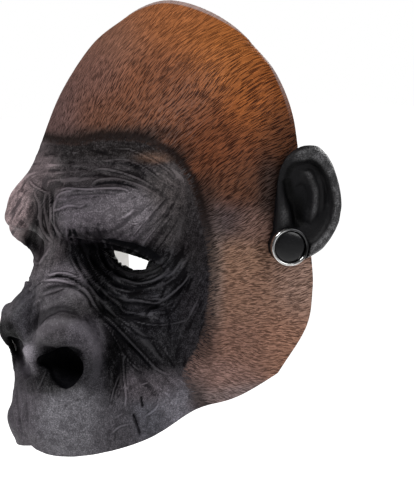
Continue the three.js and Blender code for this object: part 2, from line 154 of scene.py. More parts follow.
# Button on the ear's root
BUTTON_DIAMETER = 0.02
BUTTON_OUT = 0.0063
BUTTON_UP = -0.0003
BUTTON_SEAT = 0.0055
BUTTON_STEPS = 96
SEAT_STEPS = 72
SEAT_LEVELS = 10
SEAT_INSET = 0.0006
SEAT_ROOM = 0.0008
SEAT_REACH = 0.004
RING_WIDTH = 0.0017
RING_HEIGHT = 0.003
RING_EDGE = 0.0002
RING_ARC_STEPS = 15
# Direction, out and up on the ear's frame, towards which the ring darkens as painted shade
RING_REARWARD = (0.85, 0.5)
CAP_HEIGHT = 0.0022
CAP_DOME = 0.4
CAP_EDGE = 0.0003
CAP_ARC = (0.15, 0.97)
CAP_ARC_STEPS = 18
PIECE_GAP = 0.0003
WELD = 1e-6

# Angles above which an edge stays sharp
SHELL_SHARP = 70
EAR_SHARP = 80
BUTTON_SHARP = 40
NEVER_SHARP = 180

# Studio, with places along the camera's right, up and back axes
AMBIENT = 0.1
FLOOR_GLOW = 0.15
FLOOR_SIZE = 14
FLOOR_HEIGHT = -0.5
LIGHTS = [
    # name    right, up, back     size  watts
    ("key",   (-0.8, 1.1, 1.0),   0.6,  16),
    ("fill",  (1.0, 0.5, 1.2),    0.9,  6),
    ("back",  (0.8, 0.8, -0.9),   0.7,  13),
    ("side",  (-1.5, 0.5, 0.1),   0.4,  7),
]

# View of the photograph: where the camera stands, and where the part's origin lies in the picture
CAMERA_AZIMUTH = math.radians(50)
CAMERA_ELEVATION = math.radians(8)
CAMERA_DISTANCE = 1.0
PIXELS_PER_METRE = 1800
PHOTO_CENTRE = np.array([207, 250])
ORIGIN_PIXEL = np.array([170, 229])
PHOTO_HEIGHT = 500
SENSOR = 36

# Arches across the mask, from the lip to the crown.
# Each runs from the middle line past two guides to the rim.
# x is a share of HALF_WIDTH, y of FACE_DEPTH and z of CROWN_HEIGHT.
ARCHES = [
    # name            middle (y, z)     near guide (x, y, z)    side guide (x, y, z)     rim (x, y, z)
    ("lip edge",      (-0.96, -0.857),  (0.42, -1.02, -0.92),   (0.605, -0.43, -0.84),   (0.85, 0.155, -0.57)),
    ("upper lip",     (-1.0, -0.7),     (0.395, -1.02, -0.715), (0.7, -0.49, -0.69),     (0.92, 0.305, -0.38)),
    ("under nose",    (-0.92, -0.525),  (0.325, -0.94, -0.53),  (0.815, -0.55, -0.515),  (0.94, 0.335, -0.22)),
    ("nose",          (-0.855, -0.335), (0.325, -0.88, -0.335), (0.93, -0.55, -0.32),    (0.955, 0.315, -0.095)),
    ("eyes",          (-0.785, -0.095), (0.35, -0.785, -0.095), (0.99, -0.51, -0.065),   (0.975, 0.265, 0.05)),
    ("brow",          (-0.795, 0.145),  (0.44, -0.815, 0.145),  (1.0, -0.53, 0.145),     (1.0, 0.205, 0.205)),
    ("low forehead",  (-0.715, 0.35),   (0.37, -0.715, 0.35),   (1.02, -0.41, 0.365),    (1.01, 0.165, 0.38)),
    ("mid forehead",  (-0.54, 0.58),    (0.29, -0.54, 0.585),   (0.975, -0.305, 0.605),  (1.0, 0.12, 0.555)),
    ("high forehead", (-0.305, 0.81),   (0.205, -0.305, 0.815), (0.785, -0.12, 0.85),    (0.895, 0.08, 0.715)),
    ("crown edge",    (-0.005, 1.0),    (0.21, 0, 1.0),         (0.53, 0.03, 0.935),     (0.705, 0.04, 0.84)),
]

ARCH_STEPS = 201

# Main forms pushed in or out. A form off the middle is repeated on the other side.
# across is a share of HALF_WIDTH along the surface, up of CROWN_HEIGHT and push of RELIEF_DEPTH.
FORMS = [
    # name          at (across, up)   reach (across, up)  push (x, y, z)        edge, 2 soft to 4 steep
    ("brow ridge",  (0.3, 0.14),      (0.29, 0.125),      (0, -0.63, -0.05),    3),
    ("brow tail",   (0.7, 0.1),       (0.21, 0.1),        (0.15, -0.25, -0.05), 2),
    ("outer orbit", (0.78, -0.015),   (0.18, 0.09),       (0.4, -0.45, 0),      2),
    ("glabella",    (0, 0.145),       (0.08, 0.16),       (0, 0.35, 0),         2),
    ("socket",      (0.43, -0.075),   (0.29, 0.11),       (0, 0.85, 0),         3),
    ("nose bridge", (0, -0.125),      (0.15, 0.145),      (0, -0.6, 0),         2),
    ("nose wing",   (0.23, -0.335),   (0.2, 0.145),       (0, -0.76, 0),        2),
    ("nose groove", (0, -0.35),       (0.06, 0.16),       (0, 0.25, 0),         2),
    ("wing roll",   (0.395, -0.43),   (0.09, 0.145),      (0.15, -0.4, 0),      2),
    ("nostril",     (0.2, -0.5),      (0.15, 0.065),      (0.1, 1.0, 0.3),      4),
    ("septum",      (0, -0.475),      (0.07, 0.09),       (0, -0.4, -0.15),     2),
    ("cheek bone",  (0.74, -0.335),   (0.23, 0.12),       (0.15, -0.25, 0),     2),
    ("cheek fold",  (0.58, -0.525),   (0.1, 0.19),        (-0.1, 0.3, 0),       2),
    ("lip bulge",   (0.3, -0.78),     (0.26, 0.08),       (0, -0.2, 0),         2),
    ("jaw dip",     (1.12, -0.745),   (0.25, 0.1),        (0, 0, 0.28),         2),
]

# Main folds along paths of (across, up). Widths and lift are shares of FOLD_SIZE; a lift below 0 cuts in.
FOLDS = [
    # name            left   right  lift  path
    ("wing crease",    0.7,  0.7, -0.9, ((0.07, -0.24), (0.165, -0.175), (0.28, -0.15), (0.395, -0.205),
                                         (0.465, -0.32), (0.49, -0.445), (0.44, -0.585))),
    ("upper lid",      1.0,  0.5,  0.9, ((0.185, 0.065), (0.325, 0.08), (0.49, 0.06), (0.65, 0.01),
                                        (0.8, -0.07))),
    ("lower lid",      0.7,  0.8,  0.6, ((0.235, -0.06), (0.35, -0.145), (0.51, -0.175), (0.675, -0.135),
                                         (0.79, -0.065))),
    ("under eye fold", 0.8,  0.8, -0.7, ((0.3, -0.12), (0.36, -0.225), (0.51, -0.275), (0.7, -0.26),
                                        (0.86, -0.16))),
    ("cheek line",     0.8,  0.8, -0.5, ((0.37, -0.22), (0.49, -0.33), (0.63, -0.43), (0.72, -0.54))),
]

# Eye hole from the front: corners in shares of HALF_WIDTH and CROWN_HEIGHT, and how far each lid bows
EYE_INNER = (0.25, -0.012)
EYE_OUTER = (0.545, -0.078)
UPPER_LID_BOW = -0.0008
LOWER_LID_BOW = 0.008
BREATH_HOLE = (0.235, -0.47)
BREATH_RADIUS = 0.0035
HOLE_FADE = 0.004
LEAST_RELIEF_AT_HOLE = 0.15
LEAST_SWELL_AT_HOLE = 0.3
LOOP_EVENING = 16
MM_PER_METRE = 1000
INNER_PAINT = 0.02
FAR_FROM_RIM = 100
FACE_FRONT = -0.4 * FACE_DEPTH

# Wrinkles as they lie in the photograph, in its pixels. Above 0 is a raised line, below 0 a cut one.
WRINKLE_HEIGHT = 0.0011
WRINKLE_WIDTH = 0.0009
WRINKLE_LIMIT = 1.3
WRINKLE_VALLEY = 0.7
END_FADE = 5
FOLD_END_FADE = 6
# Lines are painted within this reach. Those between a soft line's and a band's width stay unpainted.
LINE_REACH = 6
LINE_WIDTH = 1.3
SOFT_WIDTH = 1.5
BAND_WIDTH = 2.4
WRINKLES = [
    # height  width  path
    # forehead
    (0.6,  1.2, ((91, 184), (100, 180), (114, 179), (129, 182), (143, 187), (154, 193))),
    (1.0,  1.2, ((57, 191), (69, 189), (86, 190), (103, 189), (121, 189), (130, 192))),
    (0.7,  1.1, ((56, 200), (61, 194), (74, 191))),
    (0.6,  1.1, ((91, 171), (103, 169), (114, 171), (126, 174), (143, 181), (157, 190))),
    (0.5,  1.1, ((100, 161), (121, 160), (137, 164), (151, 173), (164, 184))),
    (0.5,  1.1, ((111, 149), (126, 149), (140, 154), (154, 161), (169, 171), (176, 180))),
    (-0.7, 1.1, ((90, 187), (100, 183), (114, 182), (129, 185), (143, 190))),
    (-0.5, 1.1, ((98, 165), (121, 163), (137, 167), (149, 176))),
    (0.5,  1.1, ((61, 210), (69, 206), (80, 207), (86, 204))),
    (0.6,  1.1, ((54, 211), (61, 209), (67, 206))),
    (-0.5, 1.0, ((62, 196), (80, 194), (100, 193), (120, 194))),
    (-0.4, 1.0, ((75, 180), (85, 176), (98, 174))),
    # between the brows
    (0.9,  1.3, ((57, 199), (54, 210), (54, 221), (57, 230), (64, 239))),
    (0.8,  1.2, ((49, 191), (50, 201), (51, 216), (50, 230), (54, 240))),
    (0.7,  1.2, ((46, 193), (44, 204), (47, 221), (50, 233))),
    (0.8,  1.2, ((40, 199), (41, 210), (41, 224), (47, 236), (53, 243))),
    (0.7,  1.2, ((34, 191), (39, 206), (38, 221))),
    (0.7,  1.1, ((29, 180), (34, 186), (41, 190), (49, 194))),
    (-0.8, 1.3, ((52, 192), (52, 205), (53, 218), (54, 230), (59, 240))),
    # under the brow
    (-1.0, 1.3, ((69, 229), (70, 236), (72, 242))),
    (-1.0, 1.3, ((73, 228), (76, 237), (82, 242))),
    (0.6,  1.1, ((67, 226), (67, 235), (68, 241))),
    (-0.4, 1.0, ((86, 224), (88, 232), (92, 238))),
    (-0.4, 1.0, ((97, 224), (99, 231), (103, 237))),
    # scratches on the side of the brow
    (0.5,  0.7, ((166, 197), (154, 211), (140, 227), (133, 236))),
    (0.5,  0.7, ((160, 223), (151, 234), (144, 244))),
    (0.4,  0.7, ((140, 221), (149, 216), (160, 203))),
    (0.4,  0.7, ((141, 170), (154, 163), (163, 166))),
    (0.5,  0.8, ((114, 223), (126, 221), (134, 224), (143, 221))),
    (0.4,  0.7, ((176, 190), (184, 204), (190, 220))),
    (0.4,  0.7, ((150, 199), (163, 214), (176, 226))),
    # lids
    (-1.0, 2.6, ((100, 243), (108, 243), (122, 245), (138, 249.5), (153, 256), (163, 261))),
    # far eye
    (0.5,  1.2, ((22, 236), (26, 247), (32, 258), (38, 264), (45, 256), (52, 245))),
    (1.2,  1.3, ((104, 246), (108, 255), (116, 265), (126, 273), (141, 276), (155, 272), (166, 264))),
    (-1.0, 1.2, ((100, 249), (105, 260), (113, 270), (126, 277), (141, 280), (156, 276), (169, 267))),
    (0.9,  1.2, ((97, 251), (102, 263), (111, 274), (125, 281), (140, 284), (156, 280), (171, 270))),
    (-0.9, 1.2, ((91, 251), (97, 265), (107, 277), (120, 284), (138, 288), (154, 284), (168, 276))),
    (0.8,  1.2, ((86, 254), (93, 268), (103, 281), (117, 289), (134, 293))),
    (-0.8, 1.2, ((81, 254), (88, 269), (98, 283), (112, 293), (126, 297))),
    # beside the nose
    (0.9,  1.2, ((77, 251), (81, 264), (90, 277), (98, 287), (110, 297), (122, 304))),
    (-0.9, 1.2, ((74, 252), (79, 267), (87, 280), (96, 292), (106, 302))),
    (0.8,  1.2, ((69, 252), (75, 266), (83, 279), (91, 291), (99, 302))),
    (0.8,  1.1, ((80, 271), (89, 284), (97, 296), (109, 307), (118, 318))),
    (0.7,  1.1, ((91, 279), (100, 287), (110, 297), (121, 307), (127, 314))),
    (-0.8, 1.2, ((96, 287), (104, 296), (114, 305), (124, 313))),
    # ring under the eye and cheek
    (-1.3, 1.8, ((112, 297), (126, 302), (140, 305), (154, 307), (166, 303), (176, 295), (186, 284),
                 (191, 275))),
    (0.9,  1.3, ((126, 299), (140, 301), (154, 303), (164, 300), (174, 292), (184, 282), (190, 273))),
    (-0.6, 1.0, ((166, 284), (163, 294), (160, 300))),
    (-0.6, 0.9, ((166, 303), (166, 311), (169, 321), (170, 333))),
    (0.5,  0.9, ((157, 304), (171, 304))),
    (-0.6, 1.1, ((144, 319), (149, 310), (157, 306))),
    (0.5,  1.0, ((129, 319), (140, 323), (154, 325), (169, 324), (183, 321), (191, 317))),
    (-0.6, 1.2, ((126, 317), (133, 330), (143, 337), (157, 339))),
    (1.0,  1.2, ((100, 313), (114, 324), (129, 339), (143, 354), (157, 369), (169, 375))),
    (-1.0, 1.4, ((98, 316), (112, 328), (126, 342), (141, 357), (154, 371))),
    (0.8,  1.1, ((94, 294), (109, 310), (123, 321), (137, 331))),
    (0.6,  1.0, ((121, 350), (129, 361), (140, 371))),
    # nose
    (1.0,  1.5, ((36, 306), (40, 297), (49, 293), (61, 291), (74, 294), (84, 301), (91, 311), (98, 319))),
    (-1.2, 1.6, ((39, 301), (47, 290), (60, 286), (74, 289), (87, 297), (95, 308))),
    (0.9,  1.3, ((43, 281), (57, 280), (71, 283), (83, 291), (91, 300), (100, 313))),
    (0.8,  1.2, ((47, 276), (60, 273), (74, 276), (86, 285), (94, 296))),
    (-0.8, 1.2, ((45, 279), (58, 276), (72, 279), (85, 288))),
    (-0.8, 2.2, ((33, 281), (34, 293), (31, 307), (29, 319), (30, 330), (28, 340))),
    (-1.0, 1.8, ((36, 329), (41, 321), (48, 315), (58, 311))),
    (0.6,  1.5, ((31, 343), (36, 334), (44, 327), (54, 320), (66, 316))),
    # beside mouth and nose wing
    (0.7,  1.1, ((99, 317), (109, 330), (120, 347), (123, 361), (124, 377), (126, 394), (126, 407))),
    (-0.9, 1.5, ((104, 322), (111, 336), (117, 350), (119, 366), (118, 382), (113, 398))),
    (0.6,  1.0, ((120, 374), (114, 389), (110, 403))),
    (0.5,  0.9, ((141, 385), (149, 382))),
    (0.5,  0.9, ((120, 389), (129, 388))),
    (-0.9, 1.0, ((141, 396), (143, 408))),
    (0.5,  1.0, ((144, 417), (154, 410), (159, 403))),
    (0.5,  1.0, ((111, 434), (119, 427), (129, 424))),
    (0.4,  1.0, ((113, 419), (124, 413))),
    # lip
    (-0.8, 1.6, ((17, 384), (16, 403), (19, 420), (23, 439))),
    (-0.8, 1.6, ((25, 388), (25, 407), (28, 427))),
    (-0.7, 1.6, ((32, 384), (33, 400), (36, 420))),
    (-0.7, 1.5, ((11, 392), (11, 411), (14, 427))),
    (-0.6, 1.8, ((44, 386), (41, 400), (45, 416))),
    (-0.7, 2.0, ((63, 414), (69, 403), (80, 401), (91, 396), (100, 391))),
    (-0.6, 1.6, ((94, 411), (96, 404), (99, 396))),
    (-0.7, 1.6, ((104, 391), (107, 406), (110, 418))),
    (-0.6, 1.6, ((79, 388), (76, 396), (78, 402))),
    (0.4,  1.0, ((47, 369), (41, 383), (37, 391))),
    (0.4,  1.0, ((52, 384), (50, 392), (53, 401))),
]

# Rolls and hollows wider than wrinkles, in the photograph's pixels, with their height in metres
SWELLS = [
    # name            height    width  path
    ("wing roll",     0.0021,   8.0,   ((27, 356), (33, 342), (44, 331), (58, 324), (72, 324), (85, 331),
                                        (94, 346), (96, 363), (92, 379), (82, 391))),
    ("roll's top",   -0.0022,   4.5,   ((30, 344), (34, 331), (38, 320), (46, 312), (58, 308), (71, 310),
                                        (82, 317))),
    ("nose mound",    0.0018,   8.0,   ((44, 302), (50, 294), (64, 290), (80, 294), (91, 304))),
    ("wing groove",  -0.0012,   5.0,   ((99, 318), (107, 335), (110, 353), (106, 372))),
    ("septum tip",    0.0016,   6.0,   ((27, 346), (30, 355), (31, 364))),
    ("far nostril",  -0.0022,   4.5,   ((8, 331), (14, 341), (20, 354), (25, 368), (31, 378))),
    ("brow's edge",   0.0012,   5.0,   ((78, 229), (98, 233), (122, 236), (143, 240), (158, 247))),
    ("lid hollow",   -0.0012,   4.0,   ((98, 241), (122, 244), (143, 249), (160, 257))),
]

# The nostril's opening, round its edge, and how deep it goes in over this many pixels
NOSTRIL_OPENING = [
    (37, 357), (50, 352), (61, 347), (75, 347), (83, 354), (84, 367),
    (82, 376), (73, 386), (64, 389), (53, 380), (47, 368), (38, 366),
]
NOSTRIL_DEPTH = 0.003
NOSTRIL_SLOPE = 3.0
NOSTRIL_STEPS = 60

# The split in the lip, its width in pixels of the photograph
SPLIT_PATH = ((133, 413), (137, 424), (141, 436))
SPLIT_WIDTH = 1.1
SPLIT_DEPTH = 0.0025
SPLIT_END_FADE = 8
SPLIT_END = 1.02
SPLIT_SHADE = 1.5

# Border between bare skin and fur on the near side, from the middle line over the temple to the lip
HAIRLINE = (
    (20, 134), (44, 139), (77, 142), (95, 138), (115, 137), (143, 139), (160, 147), (172, 154),
    (184, 168), (194, 186), (201, 210), (208, 235), (212, 262), (212, 290), (207, 325), (198, 352),
    (186, 372), (192, 392), (205, 408),
)
HAIRLINE_STEPS = 60
FUR_FADE = 8

# Paint on the fur, at places of the photograph
FUR_PAINT = [
    # name               place       reach     colour
    ("crown top",        (165, 22),  (40, 25), (166, 101, 58)),
    ("crown front top",  (115, 35),  (30, 25), (142, 100, 81)),
    ("crown front",      (88, 75),   (25, 35), (126, 89, 78)),
    ("crown far",        (60, 105),  (20, 30), (110, 84, 81)),
    ("crown low",        (110, 112), (30, 18), (117, 72, 49)),
    ("crown middle",     (165, 85),  (40, 35), (130, 78, 50)),
    ("crown back top",   (225, 50),  (35, 30), (178, 106, 52)),
    ("crown back",       (260, 95),  (25, 30), (166, 95, 46)),
    ("crown back low",   (282, 135), (18, 22), (114, 68, 42)),
    ("above the temple", (215, 150), (30, 25), (130, 74, 44)),
    ("temple",           (235, 185), (22, 20), (112, 70, 48)),
    ("temple low",       (224, 222), (22, 18), (92, 78, 79)),
    ("before the ear",   (272, 190), (14, 28), (62, 50, 46)),
    ("under the temple", (255, 228), (16, 14), (150, 116, 104)),
    ("cheek top",        (240, 258), (22, 18), (168, 130, 107)),
    ("cheek",            (250, 295), (30, 25), (166, 126, 105)),
    ("cheek back",       (298, 290), (20, 30), (178, 144, 128)),
    ("jaw back",         (285, 335), (25, 25), (178, 131, 108)),
    ("jaw",              (245, 345), (28, 22), (154, 115, 99)),
    ("jaw low",          (220, 376), (25, 14), (164, 129, 119)),
    ("jaw edge",         (240, 394), (30, 8),  (152, 134, 132)),
    ("jaw front",        (196, 388), (12, 14), (92, 81, 81)),
    ("hairline top",     (115, 133), (55, 7),  (24, 17, 15)),
    ("hairline temple",  (182, 155), (14, 10), (44, 30, 25)),
    ("hairline side",    (206, 195), (10, 25), (54, 38, 32)),
    ("hairline cheek",   (216, 270), (7, 40),  (134, 118, 111)),
    ("hairline jaw",     (208, 340), (8, 25),  (88, 66, 60)),
]

# Paint on the skin, at places of the photograph
SKIN_PAINT = [
    # name               place       reach     colour
    ("forehead top",     (110, 150), (50, 8),  (27, 22, 22)),
    ("worn brown patch", (152, 157), (12, 4),  (76, 51, 35)),
    ("forehead",         (92, 172),  (40, 12), (42, 37, 39)),
    # Painted shadow under the fur's overhanging edge
    ("forehead corner",  (62, 152),  (14, 9),  (26, 22, 23)),
    # Painted light on the far side of the forehead, where light falls from the side
    ("forehead middle",  (42, 168),  (13, 17), (104, 92, 94)),
    ("forehead side",    (170, 197), (16, 18), (66, 60, 60)),
    ("brow",             (90, 210),  (26, 14), (78, 72, 78)),
    ("brow outer",       (127, 214), (24, 14), (106, 100, 105)),
    ("brow side",        (168, 225), (14, 14), (56, 52, 53)),
    # Painted shadow under the brow's edge
    ("brow edge",        (112, 234), (32, 6),  (46, 41, 46)),
    ("temple",           (190, 232), (12, 30), (36, 32, 34)),
    # Painted light on the far brow, where light falls from the side
    ("far brow",         (15, 205),  (12, 20), (137, 119, 120)),
    # Painted shade in the far eye's hollow
    ("far eye",          (33, 247),  (6, 9),   (10, 9, 11)),
    ("between brows",    (42, 215),  (12, 22), (50, 45, 46)),
    # Painted shade round the eye hole and under the lids, in this row and the next four
    ("eye",              (135, 262), (38, 12), (12, 11, 14)),
    ("inner eye",        (95, 255),  (14, 16), (12, 11, 15)),
    ("outer lid",        (160, 258), (12, 5),  (3, 3, 5)),
    ("under the eye",    (118, 280), (26, 12), (16, 15, 19)),
    ("lower lid",        (142, 286), (16, 6),  (5, 5, 7)),
    ("eye ring",         (170, 278), (18, 16), (38, 37, 41)),
    # Painted shade in the hollow beside the nose
    ("beside the nose",  (104, 300), (12, 18), (7, 7, 8)),
    ("cheek",            (165, 322), (24, 18), (30, 29, 33)),
    ("cheek low",        (148, 350), (22, 18), (26, 25, 28)),
    ("cheek side",       (194, 312), (12, 30), (34, 31, 35)),
    ("bridge",           (42, 262),  (12, 14), (74, 68, 71)),
    ("bridge low",       (62, 275),  (18, 7),  (112, 106, 112)),
    ("nose top",         (60, 298),  (22, 9),  (80, 76, 80)),
    ("nose mound",       (78, 310),  (12, 9),  (54, 51, 53)),
    ("nose front",       (48, 332),  (14, 10), (72, 68, 72)),
    ("nose wing",        (88, 340),  (14, 16), (82, 78, 84)),
    ("nose wing low",    (96, 375),  (9, 14),  (50, 48, 53)),
    ("nose groove",      (28, 315),  (6, 22),  (56, 54, 59)),
    # Painted shade in both nostrils, in this row and the next
    ("nostril",          (60, 362),  (24, 16), (6, 6, 8)),
    ("far nostril",      (15, 352),  (6, 12),  (10, 9, 11)),
    ("septum",           (29, 358),  (8, 10),  (128, 123, 130)),
    # Painted shade in the fold beside the nose and under the nose, in this row and the next
    ("nose fold",        (113, 358), (9, 26),  (2, 2, 3)),
    ("under the nose",   (42, 384),  (20, 8),  (18, 17, 18)),
    ("lip",              (70, 415),  (30, 16), (104, 102, 107)),
    ("lip middle",       (22, 408),  (16, 24), (70, 65, 71)),
    ("lip outer",        (116, 420), (16, 16), (72, 69, 74)),
    ("lip corner",       (150, 416), (16, 12), (82, 81, 88)),
    ("lip side",         (175, 405), (14, 12), (118, 115, 123)),
    ("lip end",          (196, 403), (8, 6),   (62, 50, 50)),
    ("cheek bottom",     (152, 388), (22, 12), (80, 74, 79)),
]

# Weight that paint keeps far from its place, and how near the camera's side a place has to face to be seen
PAINT_TAIL = 1e-7
LEAST_WEIGHT = 1e-9
SEEN_FROM = -0.2
BROADSIDE_FROM = 0.1
SEEN_SPAN = 0.3

# Streaks on the skin, fine and broad: how often their grain is evened, steps along the lie, and seed
STREAK_HEIGHT = 0.0003
STREAK_SOFTENING = 0.05
STREAK_CONTRAST = 1.6
FINE_STREAKS = (1, 9, 2)
BROAD_STREAKS = (5, 18, 6)

# Their lie at places of the photograph, in degrees from its right upwards, and their strength
STREAK_LIE = [
    # name               place       reach     lie   strength
    ("forehead",         (90, 172),  (34, 16), 2,    0.55),
    ("forehead top",     (120, 152), (40, 10), -12,  0.4),
    ("forehead side",    (156, 182), (18, 16), -38,  0.6),
    ("brow",             (92, 210),  (26, 14), 6,    0.35),
    ("brow side",        (150, 215), (20, 18), 48,   0.5),
    ("temple",           (190, 232), (12, 34), 75,   0.4),
    ("between brows",    (46, 212),  (10, 24), 88,   0.6),
    ("far brow",         (15, 208),  (14, 20), 60,   0.5),
    ("bridge",           (46, 258),  (12, 14), 80,   0.3),
    ("nose top left",    (42, 300),  (8, 8),   48,   0.25),
    ("nose top",         (62, 284),  (14, 10), -3,   0.3),
    ("nose top right",   (90, 304),  (9, 12),  -52,  0.35),
    ("nose front",       (52, 332),  (14, 12), 25,   0.1),
    ("wing",             (98, 345),  (9, 22),  -80,  0.12),
    ("eye inner",        (92, 258),  (10, 14), -66,  1.0),
    ("eye lower left",   (110, 280), (12, 9),  -42,  1.0),
    ("eye lower",        (137, 286), (14, 8),  -4,   1.0),
    ("eye lower right",  (164, 278), (12, 9),  32,   0.9),
    ("eye outer",        (182, 262), (9, 14),  60,   0.8),
    ("beside the nose",  (106, 302), (14, 14), -44,  1.0),
    ("under the eye",    (148, 308), (20, 8),  -3,   0.7),
    ("cheek",            (140, 340), (20, 16), -44,  0.6),
    ("cheek side",       (186, 320), (14, 24), 66,   0.4),
    ("beside the mouth", (120, 384), (8, 24),  88,   0.5),
    ("cheek bottom",     (156, 384), (18, 14), -40,  0.5),
    ("lip",              (66, 415),  (34, 18), 84,   0.16),
    ("lip side",         (160, 412), (20, 12), 60,   0.15),
]


# Curves and surface

def catmull_rom(rows, places):
    """Smooth curve through the rows, at places from 0 to the last row's number."""
    rows = np.asarray(rows, float)
    padded = np.concatenate([[2 * rows[0] - rows[1]], rows, [2 * rows[-1] - rows[-2]]])
    places = np.clip(np.asarray(places, float), 0, len(rows) - 1)
    index = np.minimum(places.astype(int), len(rows) - 2)
    t = (places - index)[:, None]
    a, b, c, d = padded[index], padded[index + 1], padded[index + 2], padded[index + 3]
    return 0.5 * (2 * b + (c - a) * t + (2 * a - 5 * b + 4 * c - d) * t**2 + (3 * b - a - 3 * c + d) * t**3)


def unit(vectors):
    return vectors / np.linalg.norm(vectors, axis=-1, keepdims=True)


def eased(share):
    """0 to 1 with soft ends."""
    share = np.clip(share, 0, 1)
    return share * share * (3 - 2 * share)


def fading_ends(along, steepness=END_FADE):
    """1 in the middle of a path, falling to 0 at its ends."""
    return np.sqrt(np.clip(steepness * np.minimum(along, 1 - along), 0, 1))


def guide_rows():
    scale = np.array([HALF_WIDTH, FACE_DEPTH, CROWN_HEIGHT])
    rows = []
    for _, middle, near, side, rim in ARCHES:
        points = np.array([(0, *middle), near, side, rim])
        rows.append((points * scale).ravel())
    return rows


def climbed(base):
    """Distance up the surface from its lowest row."""
    steps = np.linalg.norm(np.diff(base, axis=0), axis=2)
    return np.concatenate([np.zeros((1, base.shape[1])), np.cumsum(steps, 0)])


def arch_surface(rows, columns):
    """Plain surface without relief, and each place's arc length across. Columns run from -1 to 1, alike in all
    rows or given row by row."""
    guides = catmull_rom(guide_rows(), rows).reshape(-1, 4, 3)
    t = np.linspace(0, 1, ARCH_STEPS)
    weights = np.stack([(1 - t)**3, 3 * t * (1 - t)**2, 3 * t**2 * (1 - t), t**3], 1)
    arches = np.einsum("tk,rkc->rtc", weights, guides)
    steps = np.linalg.norm(np.diff(arches, axis=1), axis=2)
    reached = np.concatenate([np.zeros((len(arches), 1)), np.cumsum(steps, 1)], 1)
    length = reached[:, -1:].copy()
    reached /= length
    columns = np.broadcast_to(columns, (len(arches), np.shape(columns)[-1]))
    points = np.empty(columns.shape + (3,))
    for row in range(len(arches)):
        for axis in range(3):
            points[row, :, axis] = np.interp(np.abs(columns[row]), reached[row], arches[row, :, axis])
    points[..., 0] *= np.sign(columns)
    flat = np.stack([length * columns, points[..., 2]], -1)
    return points, flat


def push_forms(points, flat):
    total = np.zeros_like(points)
    for _, at, reach, push, edge in FORMS:
        for side in ((1, -1) if at[0] else (1,)):
            centre = np.array([side * at[0], at[1]]) * FRONT_SCALE
            away = (flat - centre) / (np.array(reach) * FRONT_SCALE)
            weight = np.exp(-np.sum(away * away, -1) ** (edge / 2))
            total += weight[..., None] * np.array([side * push[0], push[1], push[2]]) * RELIEF_DEPTH
    return points + total


def to_path(places, path):
    """Distance to the path, above 0 on its left, and the share along it."""
    nearest = np.full(places.shape[:-1], np.inf)
    side = np.ones_like(nearest)
    along = np.zeros_like(nearest)
    last = len(path) - 1
    for k in range(last):
        start, step = path[k], path[k + 1] - path[k]
        t = np.clip(((places - start) @ step) / (step @ step), 0, 1)
        gap = places - (start + t[..., None] * step)
        distance = np.hypot(gap[..., 0], gap[..., 1])
        closer = distance < nearest
        nearest = np.where(closer, distance, nearest)
        turn = step[0] * (places[..., 1] - start[1]) - step[1] * (places[..., 0] - start[0])
        side = np.where(closer, np.where(turn >= 0, 1.0, -1.0), side)
        along = np.where(closer, (k + t) / last, along)
    return nearest * side, along


def smooth_path(path, steps=24):
    return catmull_rom(path, np.linspace(0, len(path) - 1, steps))


def near_path(places, path, reach):
    """Which places lie in the path's box, widened by the reach."""
    low, high = path.min(0) - reach, path.max(0) + reach
    return ((places >= low) & (places <= high)).all(-1)


def fold_lift(flat):
    places = np.stack([np.abs(flat[..., 0]), flat[..., 1]], -1)
    lift = np.zeros(flat.shape[:-1])
    for _, left, right, height, path in FOLDS:
        line = smooth_path(np.array(path) * FRONT_SCALE)
        close = near_path(places, line, 3 * FOLD_SIZE)
        distance, along = to_path(places[close], line)
        width = np.where(distance > 0, left, right) * FOLD_SIZE
        fade = fading_ends(along, FOLD_END_FADE)
        lift[close] += height * FOLD_SIZE * fade * np.exp(-(distance / width) ** 2)
    return lift


def surface_normals(points):
    across = np.gradient(points, axis=1)
    upwards = np.gradient(points, axis=0)
    return unit(np.cross(across, upwards))


def evened(field, passes):
    """The field averaged with its neighbours in the grid."""
    for _ in range(passes):
        padded = np.pad(field, ((1, 1), (1, 1)) + ((0, 0),) * (field.ndim - 2), mode="edge")
        field = (2 * field + padded[:-2, 1:-1] + padded[2:, 1:-1] + padded[1:-1, :-2] + padded[1:-1, 2:]) / 6
    return field


# Camera

def camera_axes():
    azimuth, elevation = CAMERA_AZIMUTH, CAMERA_ELEVATION
    right = np.array([math.cos(azimuth), math.sin(azimuth), 0])
    back = np.array([
        math.sin(azimuth) * math.cos(elevation),
        -math.cos(azimuth) * math.cos(elevation),
        math.sin(elevation),
    ])
    return right, np.cross(back, right), back


def camera_place():
    right, up, back = camera_axes()
    off = (ORIGIN_PIXEL - PHOTO_CENTRE) / PIXELS_PER_METRE
    return back * CAMERA_DISTANCE - right * off[0] + up * off[1]


def in_photo(points):
    """Pixels of the photograph at which places lie."""
    right, up, back = camera_axes()
    away = points - camera_place()
    scale = PIXELS_PER_METRE * CAMERA_DISTANCE / -(away @ back)
    return np.stack([
        PHOTO_CENTRE[0] + scale * (away @ right),
        PHOTO_CENTRE[1] - scale * (away @ up),
    ], -1)


def make_camera():
    data = bpy.data.cameras.new("camera")
    camera = bpy.data.objects.new("camera", data)
    bpy.context.scene.collection.objects.link(camera)
    right, up, back = camera_axes()
    matrix = Matrix(np.column_stack([right, up, back]).tolist()).to_4x4()
    matrix.translation = Vector(camera_place())
    camera.matrix_world = matrix
    data.sensor_width = SENSOR
    data.lens = PIXELS_PER_METRE * CAMERA_DISTANCE / PHOTO_HEIGHT * SENSOR
    bpy.context.scene.camera = camera


# Relief and paint that follow the photograph

